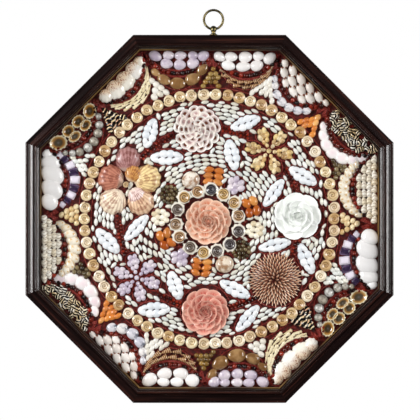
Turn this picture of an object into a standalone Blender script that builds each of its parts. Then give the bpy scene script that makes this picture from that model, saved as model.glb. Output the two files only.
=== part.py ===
"""An octagonal shell picture: a moulded mahogany frame of eight mitred rails, a board
inside it that carries patterns of sea shells, and a brass ring in a ball stud on top.

The picture hangs on a wall. Its back is the plane y = 0, it faces -Y, +Z is up, and the
origin is the middle of its back. Sizes are in metres. Each group of shells is one solid:
shells that are fused where they touch, on the card or bed that they are glued to.
"""
import math
from functools import partial

import bmesh
import bpy
from mathutils import Matrix, Vector

# Frame
PICTURE_ACROSS_FLATS = 0.457
RAIL_WIDTH = 0.018
RAIL_DEPTH = 0.042
RAIL_SIDE_HEIGHT = 0.033
EDGE_ROUND = 0.0012
REBATE_WIDTH = 0.006
SIGHT_LIP_WIDTH = 0.0006
FIT_GAP = 0.0003

# Boards and lining
BACK_BOARD_THICKNESS = 0.005
GROUND_BOARD_THICKNESS = 0.004
LINER_THICKNESS = 0.0015
LINER_CLEARANCE_TO_LIP = 0.001
BED_THICKNESS = 0.0012

# Brass hanger
HANGER_OFFSET = 0.005
HANGER_FROM_WALL = 0.012
RING_RADIUS = 0.0119
RING_WIRE = 0.0033
BALL_DIAMETER = 0.0087
BALL_HEIGHT = 0.008
NECK_DIAMETER = 0.006
FOOT_DIAMETER = 0.0107
RING_PLAY = 0.0009

# Border of lunettes
BAND_INNER_SAGITTA = 0.0235
BAND_OUTER_SAGITTA = 0.0317
BORDER_DEPTH = 0.0474
BAND_HEIGHT = 0.0034
CRESCENT_HEIGHT = 0.0058
LUNETTES_PER_SIDE = 2

# Rings of snails
SNAIL_DIAMETER = 0.0149
SNAIL_HEIGHT = 0.0075
SNAIL_RING_CLEARANCE = 0.0053
INNER_SNAIL_DIAMETER = 0.0150
INNER_SNAIL_COUNT = 14
INNER_SNAIL_CLEARANCE = 0.0009

# Centre
CENTRE_SHIFT = (-0.0025, -0.0033)
CENTRE_ROSE_RADIUS = 0.0302
CENTRE_ROSE_HEIGHT = 0.0150
CLUSTER_COUNT = 12
CLUSTER_DEPTH = 0.0185
CLUSTER_HEIGHT = 0.0055
CLUSTER_START = 10.0

# Medallions: how far each one reaches, and where it lies on the dial, in degrees from +X
MEDALLION_HEIGHT = 0.0135
SPOTTED_ROSE_RADIUS = 0.0308
WHITE_ROSE_RADIUS = 0.0308
PINK_ROSE_RADIUS = 0.0314
SPINY_DOME_RADIUS = 0.0336
SPINY_DOME_HEIGHT = 0.0165
GOLD_FLOWER_RADIUS = 0.0305
LILAC_FLOWER_RADIUS = 0.0305
SCALLOP_FLOWER_REACH = 0.0455
MEDALLION_CLEARANCE = 0.0016
SCALLOP_ANGLE = 155.7
SPOTTED_ANGLE = 97.8
GOLD_ANGLE = 48.7
WHITE_ANGLE = 1.9
DOME_ANGLE = -42.9
PINK_ANGLE = -92.5
LILAC_ANGLE = -141.2

# Bead garland and white leaves
GARLAND_WIDTH = 0.0068
GARLAND_CORD = 0.0010
GARLAND_BEADS_HEIGHT = 0.0032
LEAF_LENGTH = 0.0400
LEAF_WIDTH = 0.0205
LEAF_HEIGHT = 0.0062
LEAF_OUTWARD_STEP = 0.0176
LEAF_INWARD_STEP = 0.0231
LEAF_TO_CENTRE_GAP = 0.00483
LEAF_TURN_OUTER = 35.0
LEAF_TURN_INNER = -52.0
LEAF_ANGLE_OFFSET = -1.5

# Worked out from the sizes above
SIDES = 8
HALF_CORNER = math.pi / SIDES
OUTER_APOTHEM = PICTURE_ACROSS_FLATS / 2
SIGHT_APOTHEM = OUTER_APOTHEM - RAIL_WIDTH
BOARD_APOTHEM = SIGHT_APOTHEM + REBATE_WIDTH - FIT_GAP
BED_APOTHEM = SIGHT_APOTHEM - LINER_THICKNESS - 2 * FIT_GAP
GROUND_FRONT = BACK_BOARD_THICKNESS + FIT_GAP + GROUND_BOARD_THICKNESS
REBATE_DEPTH = GROUND_FRONT + FIT_GAP
BED_BACK = GROUND_FRONT + FIT_GAP
HALF_CHORD = BED_APOTHEM * math.tan(HALF_CORNER) / LUNETTES_PER_SIDE
SNAIL_RING_RADIUS = BED_APOTHEM - BORDER_DEPTH - SNAIL_RING_CLEARANCE
SNAIL_RING_INSIDE = SNAIL_RING_RADIUS - SNAIL_DIAMETER / 2
MEDALLION_BASE = GARLAND_CORD + FIT_GAP
INNER_SNAIL_RADIUS = CENTRE_ROSE_RADIUS + INNER_SNAIL_DIAMETER / 2 + INNER_SNAIL_CLEARANCE
CLUSTER_CIRCLE = INNER_SNAIL_RADIUS + INNER_SNAIL_DIAMETER / 2 + CLUSTER_DEPTH / 2 + 2 * FIT_GAP
CENTRE_REACH = CLUSTER_CIRCLE + CLUSTER_DEPTH / 2 + Vector(CENTRE_SHIFT).length
LEAF_INNER_REACH = LEAF_LENGTH / 2 * math.sin(math.radians(-LEAF_TURN_INNER))
MEDALLION_CIRCLE = CENTRE_REACH + LEAF_TO_CENTRE_GAP + LEAF_INNER_REACH + LEAF_INWARD_STEP

# The pattern inside the snail ring is drawn from the middle outwards, then fitted to the dial
DRAWN_DIAL_RADIUS = MEDALLION_CIRCLE + SPINY_DOME_RADIUS + MEDALLION_CLEARANCE
PATTERN_SCALE = SNAIL_RING_INSIDE / DRAWN_DIAL_RADIUS

MAHOGANY = (0.030, 0.010, 0.008)
BRASS = (0.48, 0.37, 0.20)
OCHRE = (0.42, 0.27, 0.08)
OXBLOOD = (0.075, 0.012, 0.008)
BARE_WOOD = (0.20, 0.11, 0.055)

for old in list(bpy.data.objects):
    bpy.data.objects.remove(old, do_unlink=True)


# Shared helpers
def material(name, colour, roughness=0.4, metallic=0.0):
    """A plain Principled material."""
    made = bpy.data.materials.new(name)
    made.use_nodes = True
    shader = made.node_tree.nodes["Principled BSDF"]
    shader.inputs["Base Color"].default_value = (*colour, 1.0)
    shader.inputs["Roughness"].default_value = roughness
    shader.inputs["Metallic"].default_value = metallic
    return made


def mesh_object(name, bm, colour=OXBLOOD, roughness=0.4, metallic=0.0):
    """Closes a bmesh into an object with its own material, its faces turned outwards."""
    bmesh.ops.recalc_face_normals(bm, faces=bm.faces)
    mesh = bpy.data.meshes.new(name)
    bm.to_mesh(mesh)
    bm.free()
    mesh.materials.append(material(name, colour, roughness, metallic))
    made = bpy.data.objects.new(name, mesh)
    bpy.context.scene.collection.objects.link(made)
    return made


def lay_on_bed(made, height=0.0):
    """Turns a group drawn flat in XY so that it faces the viewer, on the ground board."""
    made.rotation_euler = (math.pi / 2, 0, 0)
    made.location = (0, -(BED_BACK + height), 0)
    return made


def fit_to_dial(bm):
    """Enlarges or reduces a group of the drawn pattern to the real dial, and keeps its height."""
    bmesh.ops.scale(bm, vec=(PATTERN_SCALE, PATTERN_SCALE, 1), verts=bm.verts)
    return bm


def boolean(made, tool, operation):
    """Joins or cuts a solid with a hidden tool."""
    tool.hide_render = True
    tool.display_type = "WIRE"
    cut = made.modifiers.new(operation.title(), "BOOLEAN")
    cut.operation = operation
    cut.solver = "EXACT"
    cut.use_self = True
    cut.object = tool
    return made


def fused(name, base, shells, colour, height=0.0, roughness=0.35):
    """A group of shells: its base and the shells on it, fused into one solid."""
    made = lay_on_bed(mesh_object(name, base, colour, roughness), height)
    tool = lay_on_bed(mesh_object(name + "_shells", shells), height)
    return boolean(made, tool, "UNION")


def loft(bm, rings, closed=False):
    """Skins a row of sections, each one a ring of points, and caps its two ends."""
    rows = [[bm.verts.new(point) for point in ring] for ring in rings]
    pairs = list(zip(rows, rows[1:]))
    if closed:
        pairs.append((rows[-1], rows[0]))
    for first, second in pairs:
        for i, corner in enumerate(first):
            j = (i + 1) % len(first)
            bm.faces.new((corner, first[j], second[j], second[i]))
    if not closed:
        bm.faces.new(reversed(rows[0]))
        bm.faces.new(rows[-1])


def prism(bm, outline, low, high):
    """A plate with the given outline, from one height to another."""
    loft(bm, [[(x, y, z) for x, y in outline] for z in (low, high)])


def polar(radius, degrees):
    return Vector((radius * math.cos(math.radians(degrees)),
                   radius * math.sin(math.radians(degrees))))


def ring_outline(radius_x, radius_y, sides, centre=(0, 0), turn=0.0):
    """An ellipse of few sides about a centre, turned by an angle in degrees."""
    turned = Matrix.Rotation(math.radians(turn), 2)
    points = []
    for k in range(sides):
        angle = 2 * math.pi * k / sides
        point = turned @ Vector((radius_x * math.cos(angle), radius_y * math.sin(angle)))
        points.append((centre[0] + point.x, centre[1] + point.y))
    return points


def stack(bm, outline, centre, levels):
    """A closed mound: the outline drawn again at each level, as (share of size, height)."""
    rings = []
    for share, height in levels:
        rings.append([(centre[0] + (x - centre[0]) * share, centre[1] + (y - centre[1]) * share,
                       height) for x, y in outline])
    loft(bm, rings)


# The frame's moulding
def arc(centre, radius, start, end, steps):
    """Points on an arc, with its angles in degrees."""
    return [(centre[0] + radius * math.cos(math.radians(start + (end - start) * k / steps)),
             centre[1] + radius * math.sin(math.radians(start + (end - start) * k / steps)))
            for k in range(steps + 1)]


def rail_profile():
    """The moulding's section, as (distance in from the outer face, distance from the wall)."""
    bead = RAIL_WIDTH * 0.090
    outer_bead = RAIL_WIDTH * 0.058
    side, depth, width = RAIL_SIDE_HEIGHT, RAIL_DEPTH, RAIL_WIDTH
    drop = depth - side
    inner_bead_at = width * 0.725
    outer_bead_at = width * 0.300
    points = [(0.0, 0.0)]
    points += arc((EDGE_ROUND, side - EDGE_ROUND), EDGE_ROUND, 180, 90, 2)
    points += [(outer_bead_at - outer_bead, side + drop * 0.10)]
    points += arc((outer_bead_at, side + drop * 0.42), outer_bead, 180, 0, 3)
    points += [(width * 0.46, side + drop * 0.45), (width * 0.58, side + drop * 0.62)]
    points += arc((inner_bead_at, depth - bead), bead, 180, 0, 4)
    points += [(width * 0.850, side + drop * 0.52), (width * 0.92, side + drop * 0.33)]
    points += [(width - SIGHT_LIP_WIDTH, side + drop * 0.25), (width, side + drop * 0.25)]
    points += [(width, REBATE_DEPTH), (width - REBATE_WIDTH, REBATE_DEPTH)]
    points += [(width - REBATE_WIDTH, 0.0)]
    return points


SIGHT_LIP_HEIGHT = RAIL_SIDE_HEIGHT + (RAIL_DEPTH - RAIL_SIDE_HEIGHT) * 0.25
RAIL_NAMES = ("top", "upper_right", "right", "lower_right",
              "bottom", "lower_left", "left", "upper_left")


def rail(index):
    """One rail, mitred at both ends, with half the fitting gap left at each mitre."""
    bm = bmesh.new()
    ends = []
    for side in (-1, 1):
        ring = []
        for inward, forward in rail_profile():
            radial = OUTER_APOTHEM - inward
            half = radial * math.tan(HALF_CORNER) - FIT_GAP / 2 / math.cos(HALF_CORNER)
            ring.append((side * half, -forward, radial))
        ends.append(ring)
    loft(bm, ends)
    made = mesh_object("frame_rail_" + RAIL_NAMES[index], bm, MAHOGANY, 0.22)
    made.rotation_euler = (0, 2 * HALF_CORNER * index, 0)


for index in range(SIDES):
    rail(index)


# Boards and lining inside the frame
def octagon(apothem):
    """The corners of the octagon with the given distance from its middle to its sides."""
    reach = apothem / math.cos(HALF_CORNER)
    return [tuple(polar(reach, math.degrees(HALF_CORNER) * (2 * k + 1))) for k in range(SIDES)]


def board(name, apothem, back, front, colour, roughness):
    bm = bmesh.new()
    prism(bm, octagon(apothem), back, front)
    made = mesh_object(name, bm, colour, roughness)
    made.rotation_euler = (math.pi / 2, 0, 0)


board("back_board", BOARD_APOTHEM, 0.0, BACK_BOARD_THICKNESS, BARE_WOOD, 0.7)
board("ground_board", BOARD_APOTHEM, BACK_BOARD_THICKNESS + FIT_GAP, GROUND_FRONT, OXBLOOD, 0.6)


def liner():
    """The ochre lining: one folded strip that stands on the board, all round inside the rails."""
    outside = SIGHT_APOTHEM - FIT_GAP
    inside = outside - LINER_THICKNESS
    back, front = REBATE_DEPTH, SIGHT_LIP_HEIGHT - LINER_CLEARANCE_TO_LIP
    bm = bmesh.new()
    rings = []
    for (ox, oz), (ix, iz) in zip(octagon(outside), octagon(inside)):
        rings.append([(ox, -back, oz), (ox, -front, oz), (ix, -front, iz), (ix, -back, iz)])
    loft(bm, rings, closed=True)
    mesh_object("liner", bm, OCHRE, 0.7)


liner()


# Brass hanger
BALL_CENTRE = Vector((HANGER_OFFSET, -HANGER_FROM_WALL, OUTER_APOTHEM + BALL_HEIGHT))


def hanger_stud():
    """A turned stud: a flared foot, a neck and a ball, with the ring's hole through the ball."""
    ball, neck, foot = BALL_DIAMETER / 2, NECK_DIAMETER / 2, FOOT_DIAMETER / 2
    base = FIT_GAP - BALL_HEIGHT
    profile = [(0.0, base), (foot, base), (foot * 0.96, base + 0.0008)]
    profile += [(neck * 1.15, base + 0.0016), (neck * 0.82, base + 0.0026)]
    start = -math.acos(neck * 0.82 / ball)
    steps = 4
    for k in range(steps + 1):
        angle = start + (math.pi / 2 - start) * k / steps
        profile.append((ball * math.cos(angle) if k < steps else 0.0, ball * math.sin(angle)))
    bm = bmesh.new()
    points = [bm.verts.new((r, 0, z)) for r, z in profile]
    edges = [bm.edges.new(pair) for pair in zip(points, points[1:])]
    bmesh.ops.spin(bm, geom=points + edges, cent=(0, 0, 0), axis=(0, 0, 1), steps=12,
                   angle=2 * math.pi, use_merge=True)
    bmesh.ops.remove_doubles(bm, verts=bm.verts, dist=0.00001)
    made = mesh_object("hanger_stud", bm, BRASS, 0.35, 1.0)
    made.location = BALL_CENTRE
    hole = bmesh.new()
    bmesh.ops.create_cone(hole, cap_ends=True, segments=10, radius1=RING_WIRE / 2 + RING_PLAY,
                          radius2=RING_WIRE / 2 + RING_PLAY, depth=BALL_DIAMETER * 1.5,
                          matrix=Matrix.Rotation(math.pi / 2, 4, "Y"))
    tool = mesh_object("hanger_stud_hole", hole)
    tool.location = BALL_CENTRE
    boolean(made, tool, "DIFFERENCE")


def hanger_ring():
    """The ring, a round wire whose lowest point lies in the ball; its origin is the hinge."""
    around, across = 18, 6
    wire = RING_WIRE / 2
    sections = []
    for k in range(around):
        angle = 2 * math.pi * k / around
        section = []
        for s in range(across):
            turn = 2 * math.pi * s / across
            reach = RING_RADIUS + wire * math.cos(turn)
            section.append((reach * math.sin(angle), wire * math.sin(turn),
                            RING_RADIUS - reach * math.cos(angle)))
        sections.append(section)
    bm = bmesh.new()
    loft(bm, sections, closed=True)
    made = mesh_object("hanger_ring", bm, BRASS, 0.35, 1.0)
    made.location = BALL_CENTRE


hanger_stud()
hanger_ring()


# Border: sixteen lunettes, each with its band of beads and the crescent of shells outside it
EVEN_SPANS = 3


def sagitta_point(sagitta, share, half_chord):
    """A point on the arc over a chord of the wall: share runs from -1 to 1 along the arc."""
    radius = (half_chord ** 2 + sagitta ** 2) / (2 * sagitta)
    angle = 2 * math.atan(sagitta / half_chord) * share
    return Vector((radius * math.sin(angle), radius - sagitta - radius * math.cos(angle)))


def within_sector(point, corner):
    """Keeps a point of a lunette on its own side of the two rays that bound its sector."""
    from_corner = HALF_CHORD - FIT_GAP + point.y * math.tan(HALF_CORNER)
    from_middle = HALF_CHORD - FIT_GAP
    along = point.x * corner
    return Vector((corner * max(-from_middle, min(from_corner, along)), point.y))


def lumpy_ridge(bm, near_at, far_at, lumps, height, reach=1.0, crest=0.0):
    """A ridge between two lines that swells at each of its shells; no lumps make it even.

    near_at and far_at give a point for a share from -1 to 1. crest is half the width of the
    flat top, as a share of the ridge's half width.
    """
    spans = 2 * lumps or EVEN_SPANS
    rings = []
    for k in range(spans + 1):
        share = reach * (2 * k / spans - 1)
        waist = bool(lumps) and k % 2 == 0
        a, b = near_at(share), far_at(share)
        middle, half = (a + b) / 2, (b - a) / 2 * (0.50 if waist else 0.96)
        top = height * (0.62 if waist else 1.0)
        tops = [(*(middle + half * side), top) for side in ((-crest, crest) if crest else (0,))]
        rings.append([(*(middle - half), BED_THICKNESS / 2), *tops,
                      (*(middle + half), BED_THICKNESS / 2)])
    loft(bm, rings)


def border_line(sagitta, corner, share):
    """A point on one of the border's arcs, kept inside the lunette's sector."""
    return within_sector(sagitta_point(sagitta, share, HALF_CHORD), corner)


def sector_outline(half):
    """One sector of the bed: along the wall from corner to middle, and the snails' arc back."""
    corner = -HALF_CORNER
    wall = BED_APOTHEM
    inside = SNAIL_RING_RADIUS + SNAIL_DIAMETER / 2 + 4 * FIT_GAP
    gap = FIT_GAP / 2
    points = [(corner_x(wall) + gap / math.cos(corner), wall), (-gap, wall)]
    for k in range(4):
        angle = corner * k / 3
        along = Vector((inside * math.sin(angle), inside * math.cos(angle)))
        nudge = gap * (1 - 2 * k / 3)
        points.append((along.x - nudge * math.cos(angle), along.y + nudge * math.sin(angle)))
    return points if half == 0 else [(-x, y) for x, y in reversed(points)]


def corner_x(wall):
    return -wall * math.tan(HALF_CORNER)


# Name, shells along the wall, shells in the row inside it, height and colour
LUNETTE_KINDS = (
    ("lilac", 5, 3, 0.0062, (0.55, 0.45, 0.55)),
    ("white_egg", 5, 3, 0.0080, (0.85, 0.83, 0.80)),
    ("brown_tipped", 5, 3, 0.0050, (0.80, 0.75, 0.66)),
    ("black_and_white", 5, 3, 0.0035, (0.25, 0.22, 0.20)),
    ("cream_cone", 6, 3, 0.0045, (0.75, 0.69, 0.55)),
    ("white_bivalve", 4, 0, 0.0070, (0.86, 0.84, 0.80)),
    ("limpet", 4, 2, 0.0060, (0.35, 0.20, 0.07)),
    ("speckled_scallop", 4, 0, 0.0050, (0.78, 0.60, 0.45)),
)
CRESCENT_LUMPS = (5, 5, 5, 4, 4, 4, 5, 5)


def lunette_row(bm, count, low, high, height, crest):
    """A row of shells side by side between two heights over the chord, inside the arc."""
    radius = (HALF_CHORD ** 2 + BAND_INNER_SAGITTA ** 2) / (2 * BAND_INNER_SAGITTA)
    rise = radius - BAND_INNER_SAGITTA

    def line_at(above):
        room = math.sqrt(max(radius ** 2 - (above + rise) ** 2, 0.0)) * 0.95
        return lambda share: Vector((share * room, -above))

    lumpy_ridge(bm, line_at(low), line_at(high), count, height, crest=crest)


def border_unit(number):
    """A lunette, its bead band, the crescent outside it and the small shells beside it."""
    name, outer_row, inner_row, height, colour = LUNETTE_KINDS[number % len(LUNETTE_KINDS)]
    half = number % LUNETTES_PER_SIDE
    side = number // LUNETTES_PER_SIDE
    base = bmesh.new()
    prism(base, sector_outline(half), 0.0, BED_THICKNESS)
    shells = bmesh.new()
    split = BAND_INNER_SAGITTA * (0.52 if inner_row else 0.86)
    crest = 0.45 if outer_row < 5 else 0.0
    lunette_row(shells, outer_row, 0.0004, split, height, crest)
    if inner_row:
        lunette_row(shells, inner_row, split + FIT_GAP, BAND_INNER_SAGITTA * 0.92, height, crest)
    corner = -1 if half == 0 else 1
    line_of = {sagitta: partial(border_line, sagitta, corner)
               for sagitta in (BAND_INNER_SAGITTA, BAND_OUTER_SAGITTA, BORDER_DEPTH)}
    lumpy_ridge(shells, line_of[BAND_INNER_SAGITTA], line_of[BAND_OUTER_SAGITTA], 0, BAND_HEIGHT,
                reach=0.90, crest=0.5)
    lumpy_ridge(shells, line_of[BAND_OUTER_SAGITTA], line_of[BORDER_DEPTH],
                CRESCENT_LUMPS[number % len(CRESCENT_LUMPS)], CRESCENT_HEIGHT, reach=0.74)
    shift = -HALF_CHORD if half == 0 else HALF_CHORD
    bmesh.ops.translate(shells, vec=(shift, BED_APOTHEM, 0), verts=shells.verts)
    for bm in (base, shells):
        turn = Matrix.Rotation(-2 * HALF_CORNER * side, 3, "Z")
        bmesh.ops.rotate(bm, cent=(0, 0, 0), matrix=turn, verts=bm.verts)
    fused("border_%02d_%s" % (number + 1, name), base, shells, colour)


for number in range(SIDES * LUNETTES_PER_SIDE):
    border_unit(number)


# Rings of shells: where a shell's sections lie, how wide and how tall they are, as shares
SNAIL_STATIONS = ((0.0, 0.45, 0.30), (0.5, 1.0, 1.0))
KNOBBLY_STATIONS = ((0.0, 0.55, 0.45), (0.25, 0.96, 1.0), (0.75, 0.96, 1.0))
CLUSTER_STATIONS = ((0.0, 0.50, 0.40), (0.27, 0.97, 1.0), (0.73, 0.97, 1.0))


def shell_ring(name, circle, count, depth, height, stations, colour, crest=0.0, centre=(0, 0),
               start=0.0, scale=1.0):
    """A ring of touching shells: one closed ridge that swells at each shell."""
    sections = []
    for k in range(count):
        for along, wide, tall in stations:
            angle = start + 360 * (k + along) / count
            tops = [(side, height * tall) for side in ((-crest, crest) if crest else (0,))]
            sections.append([(*(Vector(centre) + polar(circle + depth / 2 * wide * side, angle)), up)
                             for side, up in [(-1, 0.0), *tops, (1, 0.0)]])
    bm = bmesh.new()
    loft(bm, sections, closed=True)
    bmesh.ops.scale(bm, vec=(scale, scale, 1), verts=bm.verts)
    lay_on_bed(mesh_object(name, bm, colour))


shell_ring("snail_ring", SNAIL_RING_RADIUS, round(2 * math.pi * SNAIL_RING_RADIUS / SNAIL_DIAMETER),
           SNAIL_DIAMETER, SNAIL_HEIGHT, SNAIL_STATIONS, (0.62, 0.46, 0.24))
shell_ring("inner_snail_ring", INNER_SNAIL_RADIUS, INNER_SNAIL_COUNT, INNER_SNAIL_DIAMETER,
           SNAIL_HEIGHT, KNOBBLY_STATIONS, (0.42, 0.36, 0.30), 0.5, CENTRE_SHIFT, 0.0, PATTERN_SCALE)
shell_ring("cluster_ring", CLUSTER_CIRCLE, CLUSTER_COUNT, CLUSTER_DEPTH, CLUSTER_HEIGHT,
           CLUSTER_STATIONS, (0.60, 0.40, 0.22), 0.6, CENTRE_SHIFT, CLUSTER_START, PATTERN_SCALE)


# Roses, flowers and the spiny dome
ROSE_LEVELS = (
    (0.90, 0.00, 0.00, 0.0),
    (1.00, 0.42, 0.05, 0.0),
    (0.76, 0.34, 0.02, 0.0),
    (0.74, 0.74, 0.06, 0.5),
    (0.48, 0.60, 0.02, 0.5),
    (0.44, 0.94, 0.07, 0.0),
    (0.20, 0.74, 0.00, 0.0),
    (0.10, 1.00, 0.00, 0.0),
)


def rose(name, centre, radius, height, colour, raised=MEDALLION_BASE, petals=7):
    """A rose of overlapping shells: rings of rippled petal rims with hollows between them."""
    bm = bmesh.new()
    sides = 2 * petals
    rings = []
    for share, level, ripple, shift in ROSE_LEVELS:
        ring = []
        for k in range(sides):
            wave = math.cos(2 * math.pi * (k / 2 + shift))
            reach = radius * (share - ripple / 2 + ripple / 2 * wave)
            point = Vector(centre) + polar(reach, 360 * k / sides)
            ring.append((*point, height * level))
        rings.append(ring)
    loft(bm, rings)
    return lay_on_bed(mesh_object(name, fit_to_dial(bm), colour, 0.4), raised)


def spiny_dome(centre):
    """A dome of thin pointed shells that stand out all over it."""
    bm = bmesh.new()
    spine = SPINY_DOME_RADIUS * 0.13
    sides, levels = 16, 4
    dome_radius, dome_height = SPINY_DOME_RADIUS - spine, SPINY_DOME_HEIGHT - spine
    rings = []
    for level in range(levels + 1):
        angle = math.pi / 2 * level / (levels + 0.7)
        outline = ring_outline(dome_radius * math.cos(angle), dome_radius * math.cos(angle),
                               sides, centre, 11.25 * level)
        rings.append([(x, y, dome_height * math.sin(angle)) for x, y in outline])
    loft(bm, rings)
    bm.normal_update()
    bmesh.ops.recalc_face_normals(bm, faces=bm.faces)
    floor = min(bm.faces, key=lambda face: face.calc_center_median().z)
    bmesh.ops.poke(bm, faces=[face for face in bm.faces if face is not floor], offset=spine)
    for vert in bm.verts:
        vert.co.z = max(vert.co.z, 0.0)
    lay_on_bed(mesh_object("spiny_dome", fit_to_dial(bm), (0.30, 0.15, 0.09), 0.4), MEDALLION_BASE)


def petal_outline(length, width, centre, degrees, start):
    """A pointed drop that runs outwards from near a flower's middle."""
    shape = ((0.0, 0.0), (0.30, 0.33), (0.62, 0.50), (0.88, 0.40), (1.0, 0.0))
    turned = Matrix.Rotation(math.radians(degrees), 2)
    half = [(start + length * along, width * across) for along, across in shape]
    other = [(x, -y) for x, y in reversed(half[1:-1])]
    points = []
    for x, y in half + other:
        point = turned @ Vector((x, y))
        points.append((centre[0] + point.x, centre[1] + point.y))
    return points


def petal_flower(name, centre, radius, colour, turn):
    """Six petals, each one a cord outline filled with small round shells."""
    base, shells = bmesh.new(), bmesh.new()
    hub = radius * 0.16
    prism(base, ring_outline(hub, hub, 6, centre, turn + 30), 0.0, BED_THICKNESS * 2)
    for k in range(6):
        angle = 60 * k + turn
        start = hub * 0.55
        outline = petal_outline(radius - start, radius * 0.62, centre, angle, start)
        middle = Vector(centre) + polar(start + (radius - start) * 0.6, angle)
        stack(shells, outline, middle, [(1.0, 0.0), (0.62, MEDALLION_HEIGHT * 0.48)])
    fused(name, fit_to_dial(base), fit_to_dial(shells), colour, MEDALLION_BASE)


# Distance from the flower's middle, direction in degrees, radius, foot and height
SCALLOPS = (
    (0.0212, 167.0, 0.0152, 0.0, 0.0048),
    (0.0275, 91.5, 0.0165, 0.0, 0.0048),
    (0.0235, 10.5, 0.0160, 0.0, 0.0048),
    (0.0285, -58.0, 0.0160, 0.0, 0.0048),
    (0.0300, -129.0, 0.0160, 0.0, 0.0048),
    (0.0195, -58.0, 0.0125, 0.0020, 0.0075),
    (0.0117, 59.0, 0.0107, 0.0010, 0.0068),
    (0.0000, 0.0, 0.0040, 0.0000, 0.0081),
)
SCALLOP_WAX_RADIUS = 0.0170


def scallop_flower(centre):
    """Five wide scallops round a wax middle, two smaller ones over them, and a small snail."""
    base, shells = bmesh.new(), bmesh.new()
    prism(base, ring_outline(SCALLOP_WAX_RADIUS, SCALLOP_WAX_RADIUS, 10, centre), 0.0,
          2 * BED_THICKNESS)
    for distance, degrees, radius, foot, height in SCALLOPS:
        middle = Vector(centre) + polar(distance, degrees)
        outline = ring_outline(radius, radius, 8, middle, degrees)
        stack(shells, outline, middle, [(1.0, foot), (0.55, height)])
    fused("scallop_flower", fit_to_dial(base), fit_to_dial(shells), (0.62, 0.40, 0.28),
          MEDALLION_BASE)


def medallion_centre(degrees):
    return polar(MEDALLION_CIRCLE, degrees)


rose("rose_spotted", medallion_centre(SPOTTED_ANGLE), SPOTTED_ROSE_RADIUS, MEDALLION_HEIGHT,
     (0.60, 0.46, 0.42))
rose("rose_white", medallion_centre(WHITE_ANGLE), WHITE_ROSE_RADIUS, MEDALLION_HEIGHT,
     (0.80, 0.80, 0.74))
rose("rose_pink", medallion_centre(PINK_ANGLE), PINK_ROSE_RADIUS, MEDALLION_HEIGHT,
     (0.62, 0.20, 0.14))
rose("rose_coral_centre", CENTRE_SHIFT, CENTRE_ROSE_RADIUS, CENTRE_ROSE_HEIGHT,
     (0.68, 0.28, 0.18), raised=0.0, petals=8)
spiny_dome(medallion_centre(DOME_ANGLE))
petal_flower("gold_flower", medallion_centre(GOLD_ANGLE), GOLD_FLOWER_RADIUS, (0.58, 0.38, 0.12), -10)
petal_flower("lilac_flower", medallion_centre(LILAC_ANGLE), LILAC_FLOWER_RADIUS,
             (0.50, 0.36, 0.50), -15)
scallop_flower(medallion_centre(SCALLOP_ANGLE))


# Bead garland, and the pairs of leaves in the gaps between the medallions
MEDALLIONS = (
    (SCALLOP_ANGLE, SCALLOP_FLOWER_REACH), (SPOTTED_ANGLE, SPOTTED_ROSE_RADIUS),
    (GOLD_ANGLE, GOLD_FLOWER_RADIUS), (WHITE_ANGLE, WHITE_ROSE_RADIUS),
    (DOME_ANGLE, SPINY_DOME_RADIUS), (PINK_ANGLE, PINK_ROSE_RADIUS),
    (LILAC_ANGLE, LILAC_FLOWER_RADIUS),
)


def medallion_gaps():
    """Each gap, clockwise, as the (angle, radius) of the medallions before and after it."""
    for k, before in enumerate(MEDALLIONS):
        after = MEDALLIONS[(k + 1) % len(MEDALLIONS)]
        if after[0] > before[0]:
            after = (after[0] - 360, after[1])
        yield before, after


def bead_garland():
    """A cord that runs under the medallions all round, with rows of beads in their gaps."""
    rings = []
    half = GARLAND_WIDTH / 2

    def section(degrees, height, width):
        near = polar(MEDALLION_CIRCLE - width, degrees)
        far = polar(MEDALLION_CIRCLE + width, degrees)
        crest_near = polar(MEDALLION_CIRCLE - width * 0.5, degrees)
        crest_far = polar(MEDALLION_CIRCLE + width * 0.5, degrees)
        rings.append([(*near, 0.0), (*crest_near, height), (*crest_far, height), (*far, 0.0)])

    for before, after in medallion_gaps():
        section(before[0], GARLAND_CORD, half * 0.6)
        hidden = [math.degrees(2 * math.asin((radius + 2 * FIT_GAP) / 2 / MEDALLION_CIRCLE))
                  for _, radius in (before, after)]
        start, end = before[0] - hidden[0], after[0] + hidden[1]
        section(start, GARLAND_CORD, half * 0.6)
        for k in range(3):
            share = 0.08 + 0.42 * k
            section(start + (end - start) * share, GARLAND_BEADS_HEIGHT, half)
        section(end, GARLAND_CORD, half * 0.6)
    bm = bmesh.new()
    loft(bm, rings, closed=True)
    lay_on_bed(mesh_object("bead_garland", fit_to_dial(bm), (0.16, 0.02, 0.01), 0.3))


# Along a leaf: the share of its length and the share of its width there
LEAF_STATIONS = ((0.00, 0.10), (0.20, 0.70), (0.46, 1.00), (0.74, 0.78), (1.00, 0.14))


def leaf(name, centre, degrees):
    """A pointed leaf of small white shells in two rows, with a groove between the rows."""
    turned = Matrix.Rotation(math.radians(degrees), 2)
    rings = []
    for along, wide in LEAF_STATIONS:
        half = LEAF_WIDTH / 2 * wide
        crest = LEAF_HEIGHT * (0.45 + 0.55 * wide)
        section = []
        for across, up in ((-1, 0), (-0.55, 1), (0, 0.55), (0.55, 1), (1, 0)):
            point = turned @ Vector((LEAF_LENGTH * (along - 0.5), half * across))
            section.append((centre.x + point.x, centre.y + point.y, crest * up))
        rings.append(section)
    bm = bmesh.new()
    loft(bm, rings)
    lay_on_bed(mesh_object(name, fit_to_dial(bm), (0.82, 0.84, 0.84), 0.35))


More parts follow.
